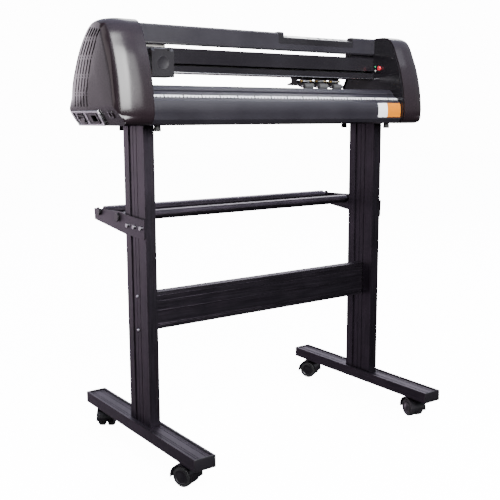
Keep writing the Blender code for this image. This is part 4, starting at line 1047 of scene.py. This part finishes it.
# %% Carriage lid, hooks and front panel
car_low, car_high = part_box("carriage_body")
lid_grey = moulded("lid_grey", (0.085, 0.085, 0.10), (0.35, 0.45), 900)
low = (car_low.x + 0.002, car_low.y + 0.013, car_high.z + 0.0002)
high = (car_high.x - 0.0015, -0.010, car_high.z + 0.0022)
block("carriage_lid", low, high, lid_grey, "black_plastic", "carriage", bevel=0.0007)
HOOKS = (
    ("lid_hook", 0.003, (0.006, 0.0125), (-0.004, 0.0035), 0.001),
    ("lid_hook_tip", 0.0022, (0.010, 0.020), (0.0024, 0.0040), 0.0006),
)
for index, x in enumerate((car_low.x + 0.006, car_high.x - 0.006)):
    for name, half, (front_y, back_y), (under, over), bevel in HOOKS:
        low = (x - half, car_low.y + front_y, car_high.z + under)
        high = (x + half, car_low.y + back_y, car_high.z + over)
        block(f"{name}_{index}", low, high, *BLACK, "carriage", bevel=bevel)
DISH = [(0.0, 0.0003), (0.0125, 0.0003), (0.0135, 0.0006), (0.0150, 0.0006), (0.0156, 0.0)]
dish_centre = ((car_low.x + car_high.x) / 2 + 0.001, car_low.y + 0.0001, (car_low.z + car_high.z) / 2)
lathe("carriage_front_dish", DISH, dish_centre, (0, -1, 0), *BLACK, "carriage", 40)
print("carriage", [round(value, 3) for value in (*car_low, *car_high)])

# %% [markdown]
# Each pinch unit shows a bright spring between brass collars across its arm. The spring is one curve wound
# round an axis and given a round section. A small plate stands behind it, and caps close the roller's axle.
# All of them ride on the lever that they press.

# %% Pinch springs and collars
SPRING_Y = 0.0175
SPRING_Z = 0.9235
ROLLER_Y = 0.008
COLLAR = [(0.0, 0), (0.0034, 0), (0.0034, 0.0045), (0.0026, 0.0055), (0, 0.0055)]
AXLE_CAP = [(0.0026, 0), (0.0026, 0.0008), (0.0012, 0.0012), (0, 0.0012)]
for number in (1, 2, 3):
    low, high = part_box(f"pinch_arm_{number}")
    middle = (low.x + high.x) / 2
    body = f"pinch_lever_{number}"
    start, end = (middle - 0.0125, SPRING_Y, SPRING_Z), (middle + 0.0125, SPRING_Y, SPRING_Z)
    coil(f"pinch_spring_{number}", start, end, 0.0027, 0.0008, 11, *STEEL, body)
    for side, where in SIDES:
        place = (middle + side * 0.0128, SPRING_Y, SPRING_Z)
        lathe(f"pinch_collar_{number}_{where}", COLLAR, place, (side, 0, 0), brass, "brass", body, 18)
    low, high = (middle - 0.0185, 0.0215, SPRING_Z - 0.0030), (middle + 0.0185, 0.0225, SPRING_Z + 0.0030)
    block(f"pinch_plate_{number}", low, high, *STEEL, body, bevel=0.0003)
    low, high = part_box(f"pinch_roller_{number}")
    for side, where in SIDES:
        place = (middle + side * 0.0198, ROLLER_Y, (low.z + high.z) / 2)
        lathe(f"pinch_axle_cap_{number}_{where}", AXLE_CAP, place, (side, 0, 0), *STEEL, body, 16)
print("pinch units 3")

# %% [markdown]
# Two small lamps sit beside the round red button on the right inner wall, and a few screw heads show on it.

# %% Lamps and wall screws
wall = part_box("right_side_plate")[0].x
lamp_green = moulded("lamp_green", (0.03, 0.42, 0.16), (0.15, 0.25), coat=0.6)
lamp_clear = moulded("lamp_clear", (0.55, 0.55, 0.52), (0.15, 0.25), coat=0.6)
LAMP = [(0.0024, 0), (0.0024, 0.0010), (0.0017, 0.0022), (0.0007, 0.0028), (0, 0.0029)]
lathe("lamp_ready", LAMP, (wall, -0.0125, 0.9655), (-1, 0, 0), lamp_green, "screen", sides=16)
lathe("lamp_power", LAMP, (wall, -0.0135, 0.9545), (-1, 0, 0), lamp_clear, "screen", sides=16)
RING = [(0.0062, 0), (0.0082, 0), (0.0082, 0.0010), (0.0074, 0.0016), (0.0062, 0.0012)]
lathe("button_bezel", RING, (wall, -0.032, 0.961), (-1, 0, 0), *BLACK, sides=28)
WALL_SCREW = [(0.0030, 0), (0.0030, 0.0006), (0.0020, 0.0016), (0.0008, 0.0018), (0.0008, 0.0009)]
WALL_SCREW += [(0, 0.0009)]
WALL_SCREW_PLACES = ((-0.0764, 0.985), (-0.1090, 0.874), (0.020, 1.012), (0.086, 0.930))
for side, x, where in ((-1, wall, "right"), (1, -wall, "left")):
    for index, (y, z) in enumerate(WALL_SCREW_PLACES):
        lathe(f"wall_screw_{where}_{index}", WALL_SCREW, (x, y, z), (side, 0, 0), *PAINTED, sides=16)
print("inner wall at", round(wall, 4))
